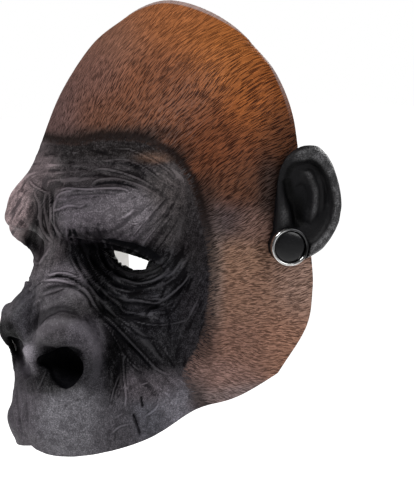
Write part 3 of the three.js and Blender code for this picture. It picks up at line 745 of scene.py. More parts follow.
def both_places(points, normals):
    """Places in the photograph of each point and its mirror image, and how much the point itself counts."""
    mirror = np.array([-1, 1, 1])
    seen = in_photo(points)
    turned = in_photo(points * mirror)
    facing = (normals @ camera_axes()[2] - SEEN_FROM) / SEEN_SPAN
    share = np.where(points[..., 0] >= 0, 1.0, eased(facing))
    return seen, turned, share


def broadside(points, normals):
    """1 where the surface, or its mirror image, faces the camera, falling to 0 where it is seen edge-on."""
    back = camera_axes()[2]
    mirrored = np.where(points[..., 0] < 0, normals @ (back * np.array([-1, 1, 1])), -1)
    toward = np.maximum(normals @ back, mirrored)
    return np.clip((toward - BROADSIDE_FROM) / SEEN_SPAN, 0, 1)


def from_photo(measure, places):
    """What measure gives at each point's place in the photograph, or at its mirror place if hidden."""
    seen, turned, share = places
    own, other = measure(seen), measure(turned)
    if own.ndim > share.ndim:
        share = share[..., None]
    return share * own + (1 - share) * other


def wrinkle_lift(seen):
    """Height of the wrinkles as a share of WRINKLE_HEIGHT."""
    lift = np.zeros(seen.shape[:-1])
    for height, width, path in WRINKLES:
        line = smooth_path(path)
        reach = width * WRINKLE_WIDTH * PIXELS_PER_METRE
        close = near_path(seen, line, 3 * reach)
        distance, along = to_path(seen[close], line)
        share = (distance / reach) ** 2
        lift[close] += height * fading_ends(along) * (1 - WRINKLE_VALLEY * share) * np.exp(-share)
    return lift


def swell_lift(seen):
    """Height of the rolls and hollows, in metres."""
    lift = np.zeros(seen.shape[:-1])
    for _, height, width, path in SWELLS:
        line = smooth_path(path)
        close = near_path(seen, line, 3 * width)
        distance, along = to_path(seen[close], line)
        lift[close] += height * fading_ends(along) * np.exp(-(distance / width) ** 2)
    return lift


def in_nostril(seen):
    """0 outside the nostril's opening, rising to 1 inside it."""
    edge = closed_curve(NOSTRIL_OPENING, NOSTRIL_STEPS)
    share = np.zeros(seen.shape[:-1])
    close = near_path(seen, edge, 0)
    distance, _ = to_path(seen[close], np.concatenate([edge, edge[:1]]))
    share[close] = np.clip(distance / NOSTRIL_SLOPE, 0, 1)
    return share


def wrinkle_lines(seen):
    """Distance in pixels to the nearest wrinkle's line, and that wrinkle's height."""
    gap = np.full(seen.shape[:-1], float(LINE_REACH))
    tall = np.zeros(seen.shape[:-1])
    for height, width, path in WRINKLES:
        if SOFT_WIDTH <= width < BAND_WIDTH:
            continue
        line = smooth_path(path)
        close = near_path(seen, line, LINE_REACH)
        distance, along = to_path(seen[close], line)
        distance = np.abs(distance) / (width if width > BAND_WIDTH else min(width, LINE_WIDTH))
        nearer = distance < gap[close]
        gap[close] = np.where(nearer, distance, gap[close])
        tall[close] = np.where(nearer, height * fading_ends(along), tall[close])
    return np.stack([gap, tall], -1)


def split_depth(seen):
    distance, along = to_path(seen, smooth_path(SPLIT_PATH))
    fade = np.clip(SPLIT_END_FADE * np.minimum(along, SPLIT_END - along), 0, 1)
    return fade * np.exp(-(distance / SPLIT_WIDTH) ** 2)


def linear_colour(colour):
    """Linear light of a colour given as it shows on a screen, from 0 to 255."""
    value = np.array(colour) / 255
    return np.where(value <= 0.04045, value / 12.92, ((value + 0.055) / 1.055) ** 2.4)


def painted(seen, table):
    """Paint that passes softly from each place of the table to the next."""
    total = np.zeros(seen.shape[:-1] + (3,))
    weights = np.full(seen.shape[:-1], LEAST_WEIGHT)
    for _, place, reach, colour in table:
        away = (seen - np.array(place)) / np.array(reach)
        far = np.sum(away * away, -1)
        weight = np.exp(-far) + PAINT_TAIL / (1 + far)
        total += weight[..., None] * linear_colour(colour)
        weights += weight
    return total / weights[..., None]


def pixel_places(width, height):
    return np.stack(np.meshgrid(np.arange(width), np.arange(height)), -1).astype(float)


def streak_lie():
    """Directions of the streaks, as unit vectors, and their strength, at every pixel of the photograph."""
    seen = pixel_places(int(2 * PHOTO_CENTRE[0]), PHOTO_HEIGHT)
    total = np.zeros(seen.shape)
    weights = np.zeros(seen.shape[:-1])
    strengths = np.zeros(seen.shape[:-1])
    for _, place, reach, degrees, strength in STREAK_LIE:
        away = (seen - np.array(place)) / np.array(reach)
        weight = 1 / (STREAK_SOFTENING + np.sum(away * away, -1) ** 2)
        doubled = 2 * math.radians(degrees)
        total += weight[..., None] * np.array([math.cos(doubled), -math.sin(doubled)])
        weights += weight
        strengths += weight * strength
    turn = np.arctan2(total[..., 1], total[..., 0]) / 2
    return np.stack([np.cos(turn), np.sin(turn)], -1), strengths / weights


def streak_pattern(softness, steps, seed):
    """Random unevenness drawn out along the streaks' lie, about -1 to 1, at every pixel's place."""
    lie, strength = streak_lie()
    height, width = strength.shape
    grain = evened(np.random.default_rng(seed).normal(size=(height, width)), softness)
    start = pixel_places(width, height)
    total = grain.copy()
    for way in (1, -1):
        place, heading = start.copy(), way * lie
        for _ in range(steps):
            place = place + heading
            column = np.clip(np.rint(place[..., 0]).astype(int), 0, width - 1)
            row = np.clip(np.rint(place[..., 1]).astype(int), 0, height - 1)
            total += grain[row, column]
            after = lie[row, column]
            heading = after * np.where(np.sum(after * heading, -1, keepdims=True) < 0, -1.0, 1.0)
    return strength * total / (STREAK_CONTRAST * total.std())


def at_pixels(pattern, seen):
    """The pattern's value at places between its pixels."""
    height, width = pattern.shape
    x = np.clip(seen[..., 0], 0, width - 1.001)
    y = np.clip(seen[..., 1], 0, height - 1.001)
    column, row = x.astype(int), y.astype(int)
    right, down = x - column, y - row
    upper = pattern[row, column] * (1 - right) + pattern[row, column + 1] * right
    lower = pattern[row + 1, column] * (1 - right) + pattern[row + 1, column + 1] * right
    return upper * (1 - down) + lower * down


def skin_side(seen):
    """Distance in pixels from the hairline, above 0 on the bare skin."""
    distance, _ = to_path(seen, smooth_path(HAIRLINE, HAIRLINE_STEPS))
    return distance


# Hair strokes

def hair_places(base, flat, rows):
    """Place across and along the lie of the hair, in millimetres: it fans out from a point on the nose."""
    up = climbed(base)
    eyes_row = int(np.argmin(np.abs(rows - EYES_ARCH)))
    height = up - up[eyes_row] + base[eyes_row, :, 2] - HAIR_CENTRE_HEIGHT
    turn = np.arctan2(flat[..., 0], height)
    away = np.maximum(np.hypot(flat[..., 0], height), LEAST_HAIR_REACH)
    return np.stack([turn, np.log(away / HAIR_REACH)], -1) * HAIR_REACH * 1000


def stroke_field(places, width, length, seed):
    """Depth from 0 to 1 of lens-shaped strokes strewn over cells of the given size."""
    random = np.random.default_rng(seed).random((STROKE_DRAWS, 4))
    cell = np.floor(places / np.array([width, length])).astype(int)
    deepest = np.zeros(places.shape[:-1])
    for across in (-1, 0, 1):
        for along in (-1, 0, 1):
            here = cell + np.array([across, along])
            chance = random[(here[..., 0] * 131 + here[..., 1] * 577) % STROKE_DRAWS]
            centre = (here + 0.5 + STROKE_WANDER * (chance[..., :2] - 0.5)) * np.array([width, length])
            away = places - centre
            slant = STROKE_SLANT * (chance[..., 2] - 0.5)
            side = (away[..., 0] - slant * away[..., 1]) / (STROKE_HALF_WIDTH * width)
            end = away[..., 1] / (STROKE_HALF_LENGTH * length)
            deep = LEAST_STROKE + (1 - LEAST_STROKE) * chance[..., 3]
            deepest = np.maximum(deepest, deep * np.exp(-side * side) * np.clip(1 - end * end, 0, 1))
    return deepest


def lumps(points, size, seed):
    """Smooth unevenness from about -1 to 1, with lumps of the given size."""
    shift = Vector((seed, 2.3 * seed, 5.1 * seed))
    flat = points.reshape(-1, 3) / size
    values = [noise.noise(Vector(place) + shift) for place in flat.tolist()]
    return np.array(values).reshape(points.shape[:-1])


# Grid of the shell

def spaced(shares, steps, fine_to, near, far):
    """Shares at which to cut a line with stretches of these lengths: near cells up to a share, then far."""
    reached = np.concatenate([[0], np.cumsum(steps)])
    turn = np.interp(fine_to, shares, reached)
    cuts = np.concatenate([np.linspace(0, turn, near + 1), np.linspace(turn, reached[-1], far + 1)[1:]])
    return np.interp(cuts, reached, shares)


def cells_along(shares, steps, fine_to, fine, coarse):
    """How many fine and coarse cells a line takes, together a multiple of the inner face's wider cells."""
    reached = np.concatenate([[0], np.cumsum(steps)])
    turn = np.interp(fine_to, shares, reached)
    near, far = round(turn / fine), round((reached[-1] - turn) / coarse)
    return near, far + -(near + far) % INNER_STEP


def grid_places():
    """Rows of the grid and each row's columns, closer where the forms stretch the surface."""
    rows = np.linspace(0, len(ARCHES) - 1, SAMPLE_ROWS)
    columns = np.linspace(-1, 1, SAMPLE_COLUMNS)
    formed = push_forms(*arch_surface(rows, columns))
    steps = np.linalg.norm(np.diff(formed, axis=0), axis=2)
    upwards = np.quantile(steps[:, np.abs(columns) < FACE_SHARE], TYPICAL_CELL, axis=1)
    cells = cells_along(rows, upwards, FACE_TOP_ARCH, FACE_CELL, CROWN_CELL)
    rows = spaced(rows, upwards, FACE_TOP_ARCH, *cells)

    half = columns[SAMPLE_COLUMNS // 2:]
    across = np.linalg.norm(np.diff(push_forms(*arch_surface(rows, half)), axis=1), axis=2)
    widest = np.quantile(across[rows < FACE_TOP_ARCH], TYPICAL_CELL, axis=0)
    near, far = cells_along(half, widest, FACE_SHARE, FACE_CELL, SIDE_CELL)
    by_row = np.array([spaced(half, steps, FACE_SHARE, near, far) for steps in across])
    for _ in range(ROW_EVENING):
        padded = np.pad(by_row, ((1, 1), (0, 0)), mode="edge")
        by_row = (padded[:-2] + 2 * padded[1:-1] + padded[2:]) / 4
    return rows, np.concatenate([-by_row[:, :0:-1], by_row], 1)


# Holes

def eye_side(points):
    """Distance from the border of the eye hole, below 0 inside it."""
    inner, outer = np.array(EYE_INNER) * FRONT_SCALE, np.array(EYE_OUTER) * FRONT_SCALE
    chord = outer - inner
    length = np.linalg.norm(chord)
    chord = chord / length
    away = np.stack([np.abs(points[..., 0]), points[..., 2]], -1) - inner
    t = away @ chord / length
    height = away[..., 1] * chord[0] - away[..., 0] * chord[1]
    bow = 4 * t * (1 - t)
    return np.maximum(height - UPPER_LID_BOW * bow, -(height + LOWER_LID_BOW * bow))


def breath_side(points):
    """Distance from the border of the breathing hole, below 0 inside it."""
    away = np.stack([np.abs(points[..., 0]), points[..., 2]], -1) - np.array(BREATH_HOLE) * FRONT_SCALE
    return np.linalg.norm(away, axis=-1) - BREATH_RADIUS


def hole_side(points):
    """Distance from the nearer hole's border, below 0 inside the hole."""
    side = np.minimum(eye_side(points), breath_side(points))
    return np.where(points[..., 1] < FACE_FRONT, side, 1.0)


def snapped_to_holes(points):
    """Moves the nearer end of each grid edge that crosses a hole's border onto the border.
    Gives the points and, for each, below 0 inside a hole, 0 on its border and above 0 outside."""
    side = hole_side(points)
    moved, state = points.copy(), np.sign(side)
    nearest = np.full(side.shape, 0.5)
    for shift in ((1, 0), (-1, 0), (0, 1), (0, -1)):
        other = np.roll(side, shift, (0, 1))
        end = np.roll(points, shift, (0, 1))
        crosses = (side < 0) != (other < 0)
        t = np.where(crosses, side / np.where(crosses, side - other, 1), 1.0)
        closer = crosses & (t <= nearest)
        nearest[closer] = t[closer]
        moved[closer] = (points + (end - points) * t[..., None])[closer]
        state[closer] = 0
    return moved, state


def grid_triangles(count_rows, count_columns):
    index = np.arange(count_rows * count_columns).reshape(count_rows, count_columns)
    a, b, c, d = index[:-1, :-1], index[:-1, 1:], index[1:, 1:], index[1:, :-1]
    halves = (np.stack([a, b, c], -1), np.stack([a, c, d], -1))
    return np.concatenate([half.reshape(-1, 3) for half in halves])


def outside_holes(points, state, triangles):
    flat_points, flat_state = points.reshape(-1, 3), state.ravel()
    worst = flat_state[triangles].min(1)
    on_border = (flat_state[triangles] == 0).all(1)
    centre_in = hole_side(flat_points[triangles].mean(1)) < 0
    return triangles[(worst >= 0) & ~(on_border & centre_in)]


def border_points(triangles, count):
    """Points on edges that only one triangle uses."""
    edges = np.concatenate([triangles[:, [0, 1]], triangles[:, [1, 2]], triangles[:, [2, 0]]])
    ordered = np.sort(edges, 1)
    keys, uses = np.unique(ordered[:, 0] * count + ordered[:, 1], return_counts=True)
    single = keys[uses == 1]
    return np.unique(np.concatenate([single // count, single % count]))


def hole_centres():
    eye = (np.array(EYE_INNER) + np.array(EYE_OUTER)) / 2 * FRONT_SCALE
    eye[1] -= LOWER_LID_BOW / 3
    breath = np.array(BREATH_HOLE) * FRONT_SCALE
    return np.array([(side * x, z) for x, z in (eye, breath) for side in (1, -1)])


def hole_loops(points, triangles, rim):
    """Border points of each hole in order round its centre, with their angles."""
    border = np.setdiff1d(border_points(triangles, len(points)), rim)
    places = points[border][:, [0, 2]]
    centres = hole_centres()
    nearest = np.argmin(np.linalg.norm(places[:, None] - centres[None], axis=2), 1)
    loops = []
    for number, centre in enumerate(centres):
        mine = nearest == number
        away = places[mine] - centre
        angle = np.arctan2(away[:, 1], away[:, 0]) / (2 * math.pi) + 0.5
        order = np.argsort(angle)
        loops.append((border[mine][order], angle[order]))
    return loops


def stitched(first, first_share, second, second_share):
    """Triangles between two closed loops, taken in step by their shares of the way round."""
    first_share = np.append(first_share, first_share[0] + 1)
    second_share = np.append(second_share, second_share[0] + 1)
    i = j = 0
    triangles = []
    while i < len(first) or j < len(second):
        here, there = first[i % len(first)], second[j % len(second)]
        if j == len(second) or (i < len(first) and first_share[i + 1] <= second_share[j + 1]):
            i += 1
            triangles.append((here, first[i % len(first)], there))
        else:
            j += 1
            triangles.append((here, second[j % len(second)], there))
    return np.array(triangles)


def rim_loop(count_rows, count_columns):
    """Points of a grid's border in order."""
    index = np.arange(count_rows * count_columns).reshape(count_rows, count_columns)
    return np.concatenate([index[0, :-1], index[:-1, -1], index[-1, :0:-1], index[:0:-1, 0]])


# Mesh helpers

def new_object(name, points, triangles, materials, material_index=None):
    mesh = bpy.data.meshes.new(name)
    mesh.from_pydata(points.tolist(), [], triangles.tolist())
    for material in materials:
        mesh.materials.append(material)
    if material_index is not None:
        mesh.polygons.foreach_set("material_index", material_index.astype(np.int32))
    piece = bpy.data.objects.new(name, mesh)
    bpy.context.scene.collection.objects.link(piece)
    return piece


def finish_mesh(mesh, sharp_degrees):
    work = bmesh.new()
    work.from_mesh(mesh)
    bmesh.ops.recalc_face_normals(work, faces=work.faces)
    work.to_mesh(mesh)
    work.free()
    mesh.shade_smooth()
    mesh.set_sharp_from_angle(angle=math.radians(sharp_degrees))
    mesh.update()


def set_value(mesh, name, values):
    attribute = mesh.attributes.new(name, "FLOAT", "POINT")
    attribute.data.foreach_set("value", np.ascontiguousarray(values, np.float32).ravel())


def set_colour(mesh, name, colours):
    attribute = mesh.attributes.new(name, "FLOAT_COLOR", "POINT")
    with_alpha = np.concatenate([colours, np.ones(colours.shape[:-1] + (1,))], -1)
    attribute.data.foreach_set("color", np.ascontiguousarray(with_alpha, np.float32).ravel())


def set_uv(mesh, name, places):
    layer = mesh.uv_layers.new(name=name)
    corners = np.empty(len(mesh.loops), np.int32)
    mesh.loops.foreach_get("vertex_index", corners)
    layer.uv.foreach_set("vector", np.ascontiguousarray(places[corners], np.float32).ravel())


# Shell

def outer_surface():
    """The outer face with its forms and folds, and even normals for the relief."""
    rows, columns = grid_places()
    base, flat = arch_surface(rows, columns)
    formed = push_forms(base, flat)
    normals = unit(evened(surface_normals(formed), FORM_EVENING))
    formed = formed + normals * fold_lift(flat)[..., None]
    normals = unit(evened(surface_normals(formed), FOLD_EVENING))
    return rows, base, flat, formed, normals


def inner_surface(outer, normals):
    """Smoother face a wall's thickness behind the outer one, pushed further back behind deep folds."""
    across = unit(evened(normals, INNER_NORMAL_EVENING))
    inner = evened(outer, INNER_EVENING) - across * LATEX_WALL
    wall = np.sum((outer - inner) * across, -1)
    reach = INNER_STEP + 1
    padded = np.pad(wall, reach, mode="edge")
    thinnest = wall
    for down in range(2 * reach + 1):
        for right in range(2 * reach + 1):
            near = padded[down:down + wall.shape[0], right:right + wall.shape[1]]
            thinnest = np.minimum(thinnest, near)
    missing = evened(np.maximum(LEAST_WALL - thinnest, 0), WALL_EVENING)
    inner = inner - across * missing[..., None]
    return inner[::INNER_STEP, ::INNER_STEP]


def to_rim(base, flat):
    """Distance over the surface to the nearer rim, the side one or the crown's."""
    side = np.abs(flat[:, -1:, 0]) - np.abs(flat[..., 0])
    up = climbed(base)
    return np.minimum(side, up[-1:] - up)


def relief_fields(rows, base, flat, formed, normals):
    """What the relief and the paint need at each point of the outer face."""
    photo = both_places(formed, normals)
    facing = broadside(formed, normals)
    lines = from_photo(wrinkle_lines, photo)
    fine_pattern = streak_pattern(*FINE_STREAKS)
    broad_pattern = streak_pattern(*BROAD_STREAKS)
    hair = hair_places(base, flat, rows)
    strokes = [
        strength * stroke_field(hair + shift, width, length, seed)
        for width, length, strength, seed, shift in STROKE_LAYERS
    ]
    return {
        "facing": facing,
        "fur_paint": from_photo(lambda seen: painted(seen, FUR_PAINT), photo),
        "skin_paint": from_photo(lambda seen: painted(seen, SKIN_PAINT), photo),
        "wrinkles": from_photo(wrinkle_lift, photo) * facing,
        "split": from_photo(split_depth, photo),
        "nostril": from_photo(in_nostril, photo),
        "swell": from_photo(swell_lift, photo),
        "fine_streaks": from_photo(lambda seen: at_pixels(fine_pattern, seen), photo),
        "broad_streaks": from_photo(lambda seen: at_pixels(broad_pattern, seen), photo) * facing,
        "line_gap": lines[..., 0],
        "line_height": lines[..., 1] * facing,
        "rim_gap": to_rim(base, flat),
        "rise": formed[..., 2] / CROWN_HEIGHT,
        "bare": from_photo(skin_side, photo),
        "strokes": np.maximum(*strokes),
        "hair": hair,
    }


def relief(fields, formed):
    """Height of wrinkles, strokes, lumps, swells and nostrils over the formed face."""
    limited = WRINKLE_LIMIT * np.tanh(fields["wrinkles"] / WRINKLE_LIMIT)
    skin_lumps = sum(share * lumps(formed, size, seed) for share, size, seed in LUMP_LAYERS)
    skin = LUMP_HEIGHT * skin_lumps + STREAK_HEIGHT * np.clip(fields["broad_streaks"], -1, 1)
    furred = np.clip(0.5 - fields["bare"] / FUR_FADE, 0, 1)
    lift = WRINKLE_HEIGHT * limited - SPLIT_DEPTH * fields["split"]
    lift = lift - furred * STROKE_DEPTH * fields["strokes"] + (1 - furred) * skin

    near_hole = np.clip(eye_side(formed) / HOLE_FADE, 0, 1)
    relief_share = LEAST_RELIEF_AT_HOLE + (1 - LEAST_RELIEF_AT_HOLE) * near_hole
    swell_share = LEAST_SWELL_AT_HOLE + (1 - LEAST_SWELL_AT_HOLE) * near_hole
    lift = lift * np.where(formed[..., 1] < FACE_FRONT, relief_share, 1.0)
    lift = lift + fields["swell"] * fields["facing"] * swell_share
    return lift - NOSTRIL_DEPTH * eased(fields["nostril"])


def hollow_skin(outer, inner):
    """Cuts the holes in both faces and joins the faces there and round the rim.
    Gives the points, the triangles and their kinds: 0 outside, 1 inside, 2 on the rim's edge."""
    outer, outer_state = snapped_to_holes(outer)
    inner, inner_state = snapped_to_holes(inner)
    outer_faces = outside_holes(outer, outer_state, grid_triangles(*outer.shape[:2]))
    inner_faces = outside_holes(inner, inner_state, grid_triangles(*inner.shape[:2]))
    outer_rim = rim_loop(*outer.shape[:2])
    inner_rim = rim_loop(*inner.shape[:2])
    start = outer.shape[0] * outer.shape[1]
    edge_faces = stitched(
        outer_rim, np.arange(len(outer_rim)) / len(outer_rim),
        inner_rim + start, np.arange(len(inner_rim)) / len(inner_rim),
    )
    outer_points, inner_points = outer.reshape(-1, 3), inner.reshape(-1, 3)
    outer_holes = hole_loops(outer_points, outer_faces, outer_rim)
    inner_holes = hole_loops(inner_points, inner_faces, inner_rim)
    for loop, _ in inner_holes:
        for _ in range(LOOP_EVENING):
            depth = inner_points[loop, 1]
            inner_points[loop, 1] = (np.roll(depth, 1) + 2 * depth + np.roll(depth, -1)) / 4
    hole_faces = np.concatenate([
        stitched(loop, angle, inner_loop + start, inner_angle)
        for (loop, angle), (inner_loop, inner_angle) in zip(outer_holes, inner_holes)
    ])
    groups = (outer_faces, inner_faces + start, edge_faces, hole_faces)
    kinds = np.repeat((0, 1, 2, 0), [len(group) for group in groups])
    return np.concatenate([outer_points, inner_points]), np.concatenate(groups), kinds


def set_fields(mesh, fields):
    """Stores what the paint reads. The inner face's points get each value at rest."""
    def spread(values, rest=0):
        flat_values = values.reshape(-1, values.shape[2] if values.ndim == 3 else 1)
        filler = np.full((len(mesh.vertices) - len(flat_values), flat_values.shape[1]), rest)
        return np.concatenate([flat_values, filler])

    for name in ("fur_paint", "skin_paint"):
        set_colour(mesh, name, spread(fields[name], INNER_PAINT))
    for name in ("nostril", "fine_streaks", "broad_streaks", "line_height", "rise", "bare", "strokes"):
        set_value(mesh, name, spread(fields[name]))
    set_value(mesh, "wrinkles", spread(fields["wrinkles"] - SPLIT_SHADE * fields["split"]))
    set_value(mesh, "swell", spread(fields["swell"] * MM_PER_METRE))
    set_value(mesh, "line_gap", spread(fields["line_gap"], LINE_REACH))
    set_value(mesh, "rim_gap", spread(fields["rim_gap"] * MM_PER_METRE, FAR_FROM_RIM))
    set_uv(mesh, "hair", spread(fields["hair"]))


def mask_shell(materials):
    rows, base, flat, formed, normals = outer_surface()
    fields = relief_fields(rows, base, flat, formed, normals)
    outer = formed + normals * relief(fields, formed)[..., None]
    points, faces, kinds = hollow_skin(outer, inner_surface(outer, normals))
    piece = new_object("shell_skin", points, faces, materials, kinds)
    set_fields(piece.data, fields)
    drop_loose(piece.data)
    finish_mesh(piece.data, SHELL_SHARP)
    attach(piece, "root")
    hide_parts("mask_shell")
    return piece


def drop_loose(mesh):
    """Removes the points inside the holes, which no face uses."""
    work = bmesh.new()
    work.from_mesh(mesh)
    bmesh.ops.delete(work, geom=[point for point in work.verts if not point.link_faces], context="VERTS")
    work.to_mesh(mesh)
    work.free()


# Ears

def ear_axes(side):
    turn = math.radians(EAR_TURN)
    out = np.array([side * math.cos(turn), math.sin(turn), 0])
    face = np.array([side * math.sin(turn), -math.cos(turn), 0])
    root = np.array([side * EAR_ROOT[0], EAR_ROOT[1], 0])
    return root, out, face


def on_ear(side, places):
    """Places (out, up, height) in metres on the ear's frame."""
    root, out, face = ear_axes(side)
    places = np.asarray(places, float)
    points = root + places[..., :1] * out + places[..., 2:] * face
    points[..., 2] += places[..., 1]
    return points


def closed_curve(rows, steps):
    rows = np.array(rows, float)
    around = np.concatenate([rows[-2:], rows, rows[:2]])
    return catmull_rom(around, 2 + np.arange(steps) / steps * len(rows))


def lofted(rings, close_ends=True):
    """Triangles over rings of equal count, closed with a fan at each end."""
    count_rings, count = rings.shape[:2]
    points = rings.reshape(-1, 3)
    index = np.arange(count_rings * count).reshape(count_rings, count)
    after = np.roll(index, -1, 1)
    a, b, c, d = index[:-1], after[:-1], after[1:], index[1:]
    faces = [np.stack([a, b, c], -1).reshape(-1, 3), np.stack([a, c, d], -1).reshape(-1, 3)]
    if close_ends:
        points = np.concatenate([points, rings[:1].mean(1), rings[-1:].mean(1)])
        low, high = len(points) - 2, len(points) - 1
        faces.append(np.stack([after[0], index[0], np.full(count, low)], -1))
        faces.append(np.stack([index[-1], after[-1], np.full(count, high)], -1))
    return points, np.concatenate(faces)


def ear_cup():
    edge = closed_curve(EAR_OUTLINE, EAR_STEPS) * EAR_SCALE
    middle = np.array(EAR_MIDDLE) * EAR_SCALE
    profile = catmull_rom(EAR_PROFILE, np.linspace(0, len(EAR_PROFILE) - 1, EAR_RINGS))
    rings = []
    rim_share = eased(edge[:, 0] / EAR_WIDTH / EAR_FRONT)
    for inwards, height in profile:
        ring = edge + inwards * (middle - edge)
        above = max(height - EAR_FRONT_HEIGHT, 0)
        rings.append(np.column_stack([ring, (height - above * (1 - rim_share)) * EAR_CUP]))
    return lofted(np.array(rings))


def ear_root(side, shell):
    """Block between ear and shell that ends in the shell's wall."""
    outline = closed_curve(ROOT_OUTLINE, ROOT_STEPS) * EAR_SCALE
    _, _, face = ear_axes(side)
    top = np.column_stack([outline, np.full(len(outline), ROOT_TOP)])
    bottom = top.copy()
    for k, place in enumerate(on_ear(side, top)):
        hit = shell.ray_cast(Vector(place), Vector(-face), ROOT_DEPTH)
        depth = hit[3] + ROOT_SINK if hit[0] else ROOT_DEPTH
        bottom[k, 2] = ROOT_TOP - depth
    levels = np.linspace(0, 1, ROOT_LEVELS)[:, None, None]
    return lofted(bottom * (1 - levels) + top * levels)


def turned_rings(profile, steps):
    """Rings about the button's axis, on the ear's frame, one for each (radius, height)."""
    turn = np.arange(steps) / steps * 2 * math.pi
    return np.array([
        np.column_stack([
            BUTTON_OUT + radius * np.cos(turn),
            BUTTON_UP + radius * np.sin(turn),
            np.full(steps, height),
        ])
        for radius, height in profile
    ])


def button_seat():
    radius = BUTTON_DIAMETER / 2 - SEAT_INSET
    heights = np.linspace(-SEAT_REACH, BUTTON_SEAT, SEAT_LEVELS)
    return lofted(turned_rings([(radius, height) for height in heights], SEAT_STEPS))


def joined(parts):
    points, faces, start = [], [], 0
    for part_points, part_faces in parts:
        points.append(part_points)
        faces.append(part_faces + start)
        start += len(part_points)
    return np.concatenate(points), np.concatenate(faces)


def mesh_points(mesh):
    points = np.empty((len(mesh.vertices), 3), np.float32)
    mesh.vertices.foreach_get("co", points.ravel())
    return points.astype(float)


def mesh_normals(mesh):
    normals = np.empty((len(mesh.vertices), 3), np.float32)
    mesh.vertex_normals.foreach_get("vector", normals.ravel())
    return normals.astype(float)


def ear_relief(places):
    """Height added on the ear's front by its forms and folds."""
    shares = places[:, :2] / EAR_SCALE
    lift = np.zeros(len(places))
    for _, at, reach, height in EAR_FORMS:
        away = (shares - np.array(at)) / np.array(reach)
        lift += height * np.exp(-np.sum(away * away, 1))
    for _, width, height, path in EAR_FOLDS:
        line = smooth_path(np.array(path) * EAR_SCALE)
        distance, along = to_path(places[:, :2], line)
        lift += height * fading_ends(along) * np.exp(-(distance / width) ** 2)
    return lift


def merged_solid(name, parts):
    """One closed skin round overlapping solids, evened where they meet."""
    points, faces = joined(parts)
    piece = new_object(name, points, faces, [])
    finish_mesh(piece.data, NEVER_SHARP)
    remesh = piece.modifiers.new("skin", "REMESH")
    remesh.mode = "VOXEL"
    remesh.voxel_size = EAR_VOXEL
    smooth = piece.modifiers.new("even", "SMOOTH")
    smooth.factor = 0.5
    smooth.iterations = EAR_EVENING
    bpy.context.view_layer.update()
    whole = piece.evaluated_get(bpy.context.evaluated_depsgraph_get())
    mesh = bpy.data.meshes.new_from_object(whole)
    bpy.data.objects.remove(piece)
    return mesh


def ear(name, side, shell, material):
    mesh = merged_solid("raw_" + name, [ear_cup(), ear_root(side, shell), button_seat()])
    places = mesh_points(mesh)
    normals = mesh_normals(mesh)
    lift = ear_relief(places) * np.clip(normals[:, 2], 0, 1)
    places[:, 2] += lift
    from_button = np.hypot(places[:, 0] - BUTTON_OUT, places[:, 1] - BUTTON_UP)
    over_seat = (from_button < BUTTON_DIAMETER / 2 + SEAT_ROOM) & (places[:, 2] > BUTTON_SEAT)
    places[over_seat, 2] = BUTTON_SEAT
    points = on_ear(side, places)
    turned = on_ear(side, normals) - ear_axes(side)[0]
    points += EAR_ROUGHNESS * turned * lumps(points, EAR_LUMP, EAR_SEED)[:, None]
    mesh.vertices.foreach_set("co", np.ascontiguousarray(points, np.float32).ravel())
    mesh.name = name
    mesh.materials.clear()
    mesh.materials.append(material)
    set_value(mesh, "height", places[:, 2] / EAR_CUP)
    set_value(mesh, "lift", lift / EAR_CUP)
    piece = bpy.data.objects.new(name, mesh)
    bpy.context.scene.collection.objects.link(piece)
    finish_mesh(mesh, EAR_SHARP)
    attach(piece, "root")
    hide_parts(name)
    return piece


# Buttons

def turned_on_ear(name, side, profile, is_ring, material):
    """Piece turned about the button's axis from smooth (radius, height) places."""
    rings = turned_rings(profile, BUTTON_STEPS)
    if is_ring:
        rings = np.concatenate([rings, rings[:1]])
    points, faces = lofted(rings, close_ends=not is_ring)
    piece = new_object(name, on_ear(side, points), faces, [material])
    weld(piece.data)
    places = mesh_points(piece.data)
    centre = on_ear(side, [(BUTTON_OUT, BUTTON_UP, BUTTON_SEAT)])[0]
    _, out, _ = ear_axes(side)
    # Share towards the rear and top: the ring's paint reads it for its painted shade
    outwards, upwards = RING_REARWARD
    rearward = (places - centre) @ (outwards * out + np.array([0, 0, upwards])) / (BUTTON_DIAMETER / 2)
    set_value(piece.data, "rearward", rearward)
    finish_mesh(piece.data, BUTTON_SHARP)
    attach(piece, "root")
    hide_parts(name)
    return piece


def weld(mesh):
    work = bmesh.new()
    work.from_mesh(mesh)
    bmesh.ops.remove_doubles(work, verts=work.verts, dist=WELD)
    work.to_mesh(mesh)
    work.free()


def ring_profile():
    """Half-round band with a small step on its inner edge."""
    outer = BUTTON_DIAMETER / 2
    inner = outer - RING_WIDTH
    low = BUTTON_SEAT + PIECE_GAP
    high = low + RING_HEIGHT
    middle, half = (outer + inner) / 2, RING_WIDTH / 2
    crown = [
        (middle + half * math.cos(turn), high - half + half * math.sin(turn))
        for turn in np.linspace(0, math.pi, RING_ARC_STEPS)
    ]
    foot = low + RING_EDGE
    return [(outer - RING_EDGE, low), (outer, foot), *crown, (inner, foot), (inner + RING_EDGE, low)]


def cap_profile():
    """Low dome with a rounded edge."""
    radius = BUTTON_DIAMETER / 2 - RING_WIDTH - PIECE_GAP
    low = BUTTON_SEAT + PIECE_GAP
    edge = low + (1 - CAP_DOME) * CAP_HEIGHT
    rise = CAP_DOME * CAP_HEIGHT
    dome = [
        (radius * math.cos(turn), edge + rise * math.sin(turn))
        for turn in np.linspace(*CAP_ARC, CAP_ARC_STEPS) * math.pi / 2
    ]
    return [(radius - CAP_EDGE, low), (radius, low + CAP_EDGE), (radius, edge), *dome]


# Materials: colours in linear light, and tints that multiply the paint below them

WHITE = (1.0, 1.0, 1.0, 1.0)
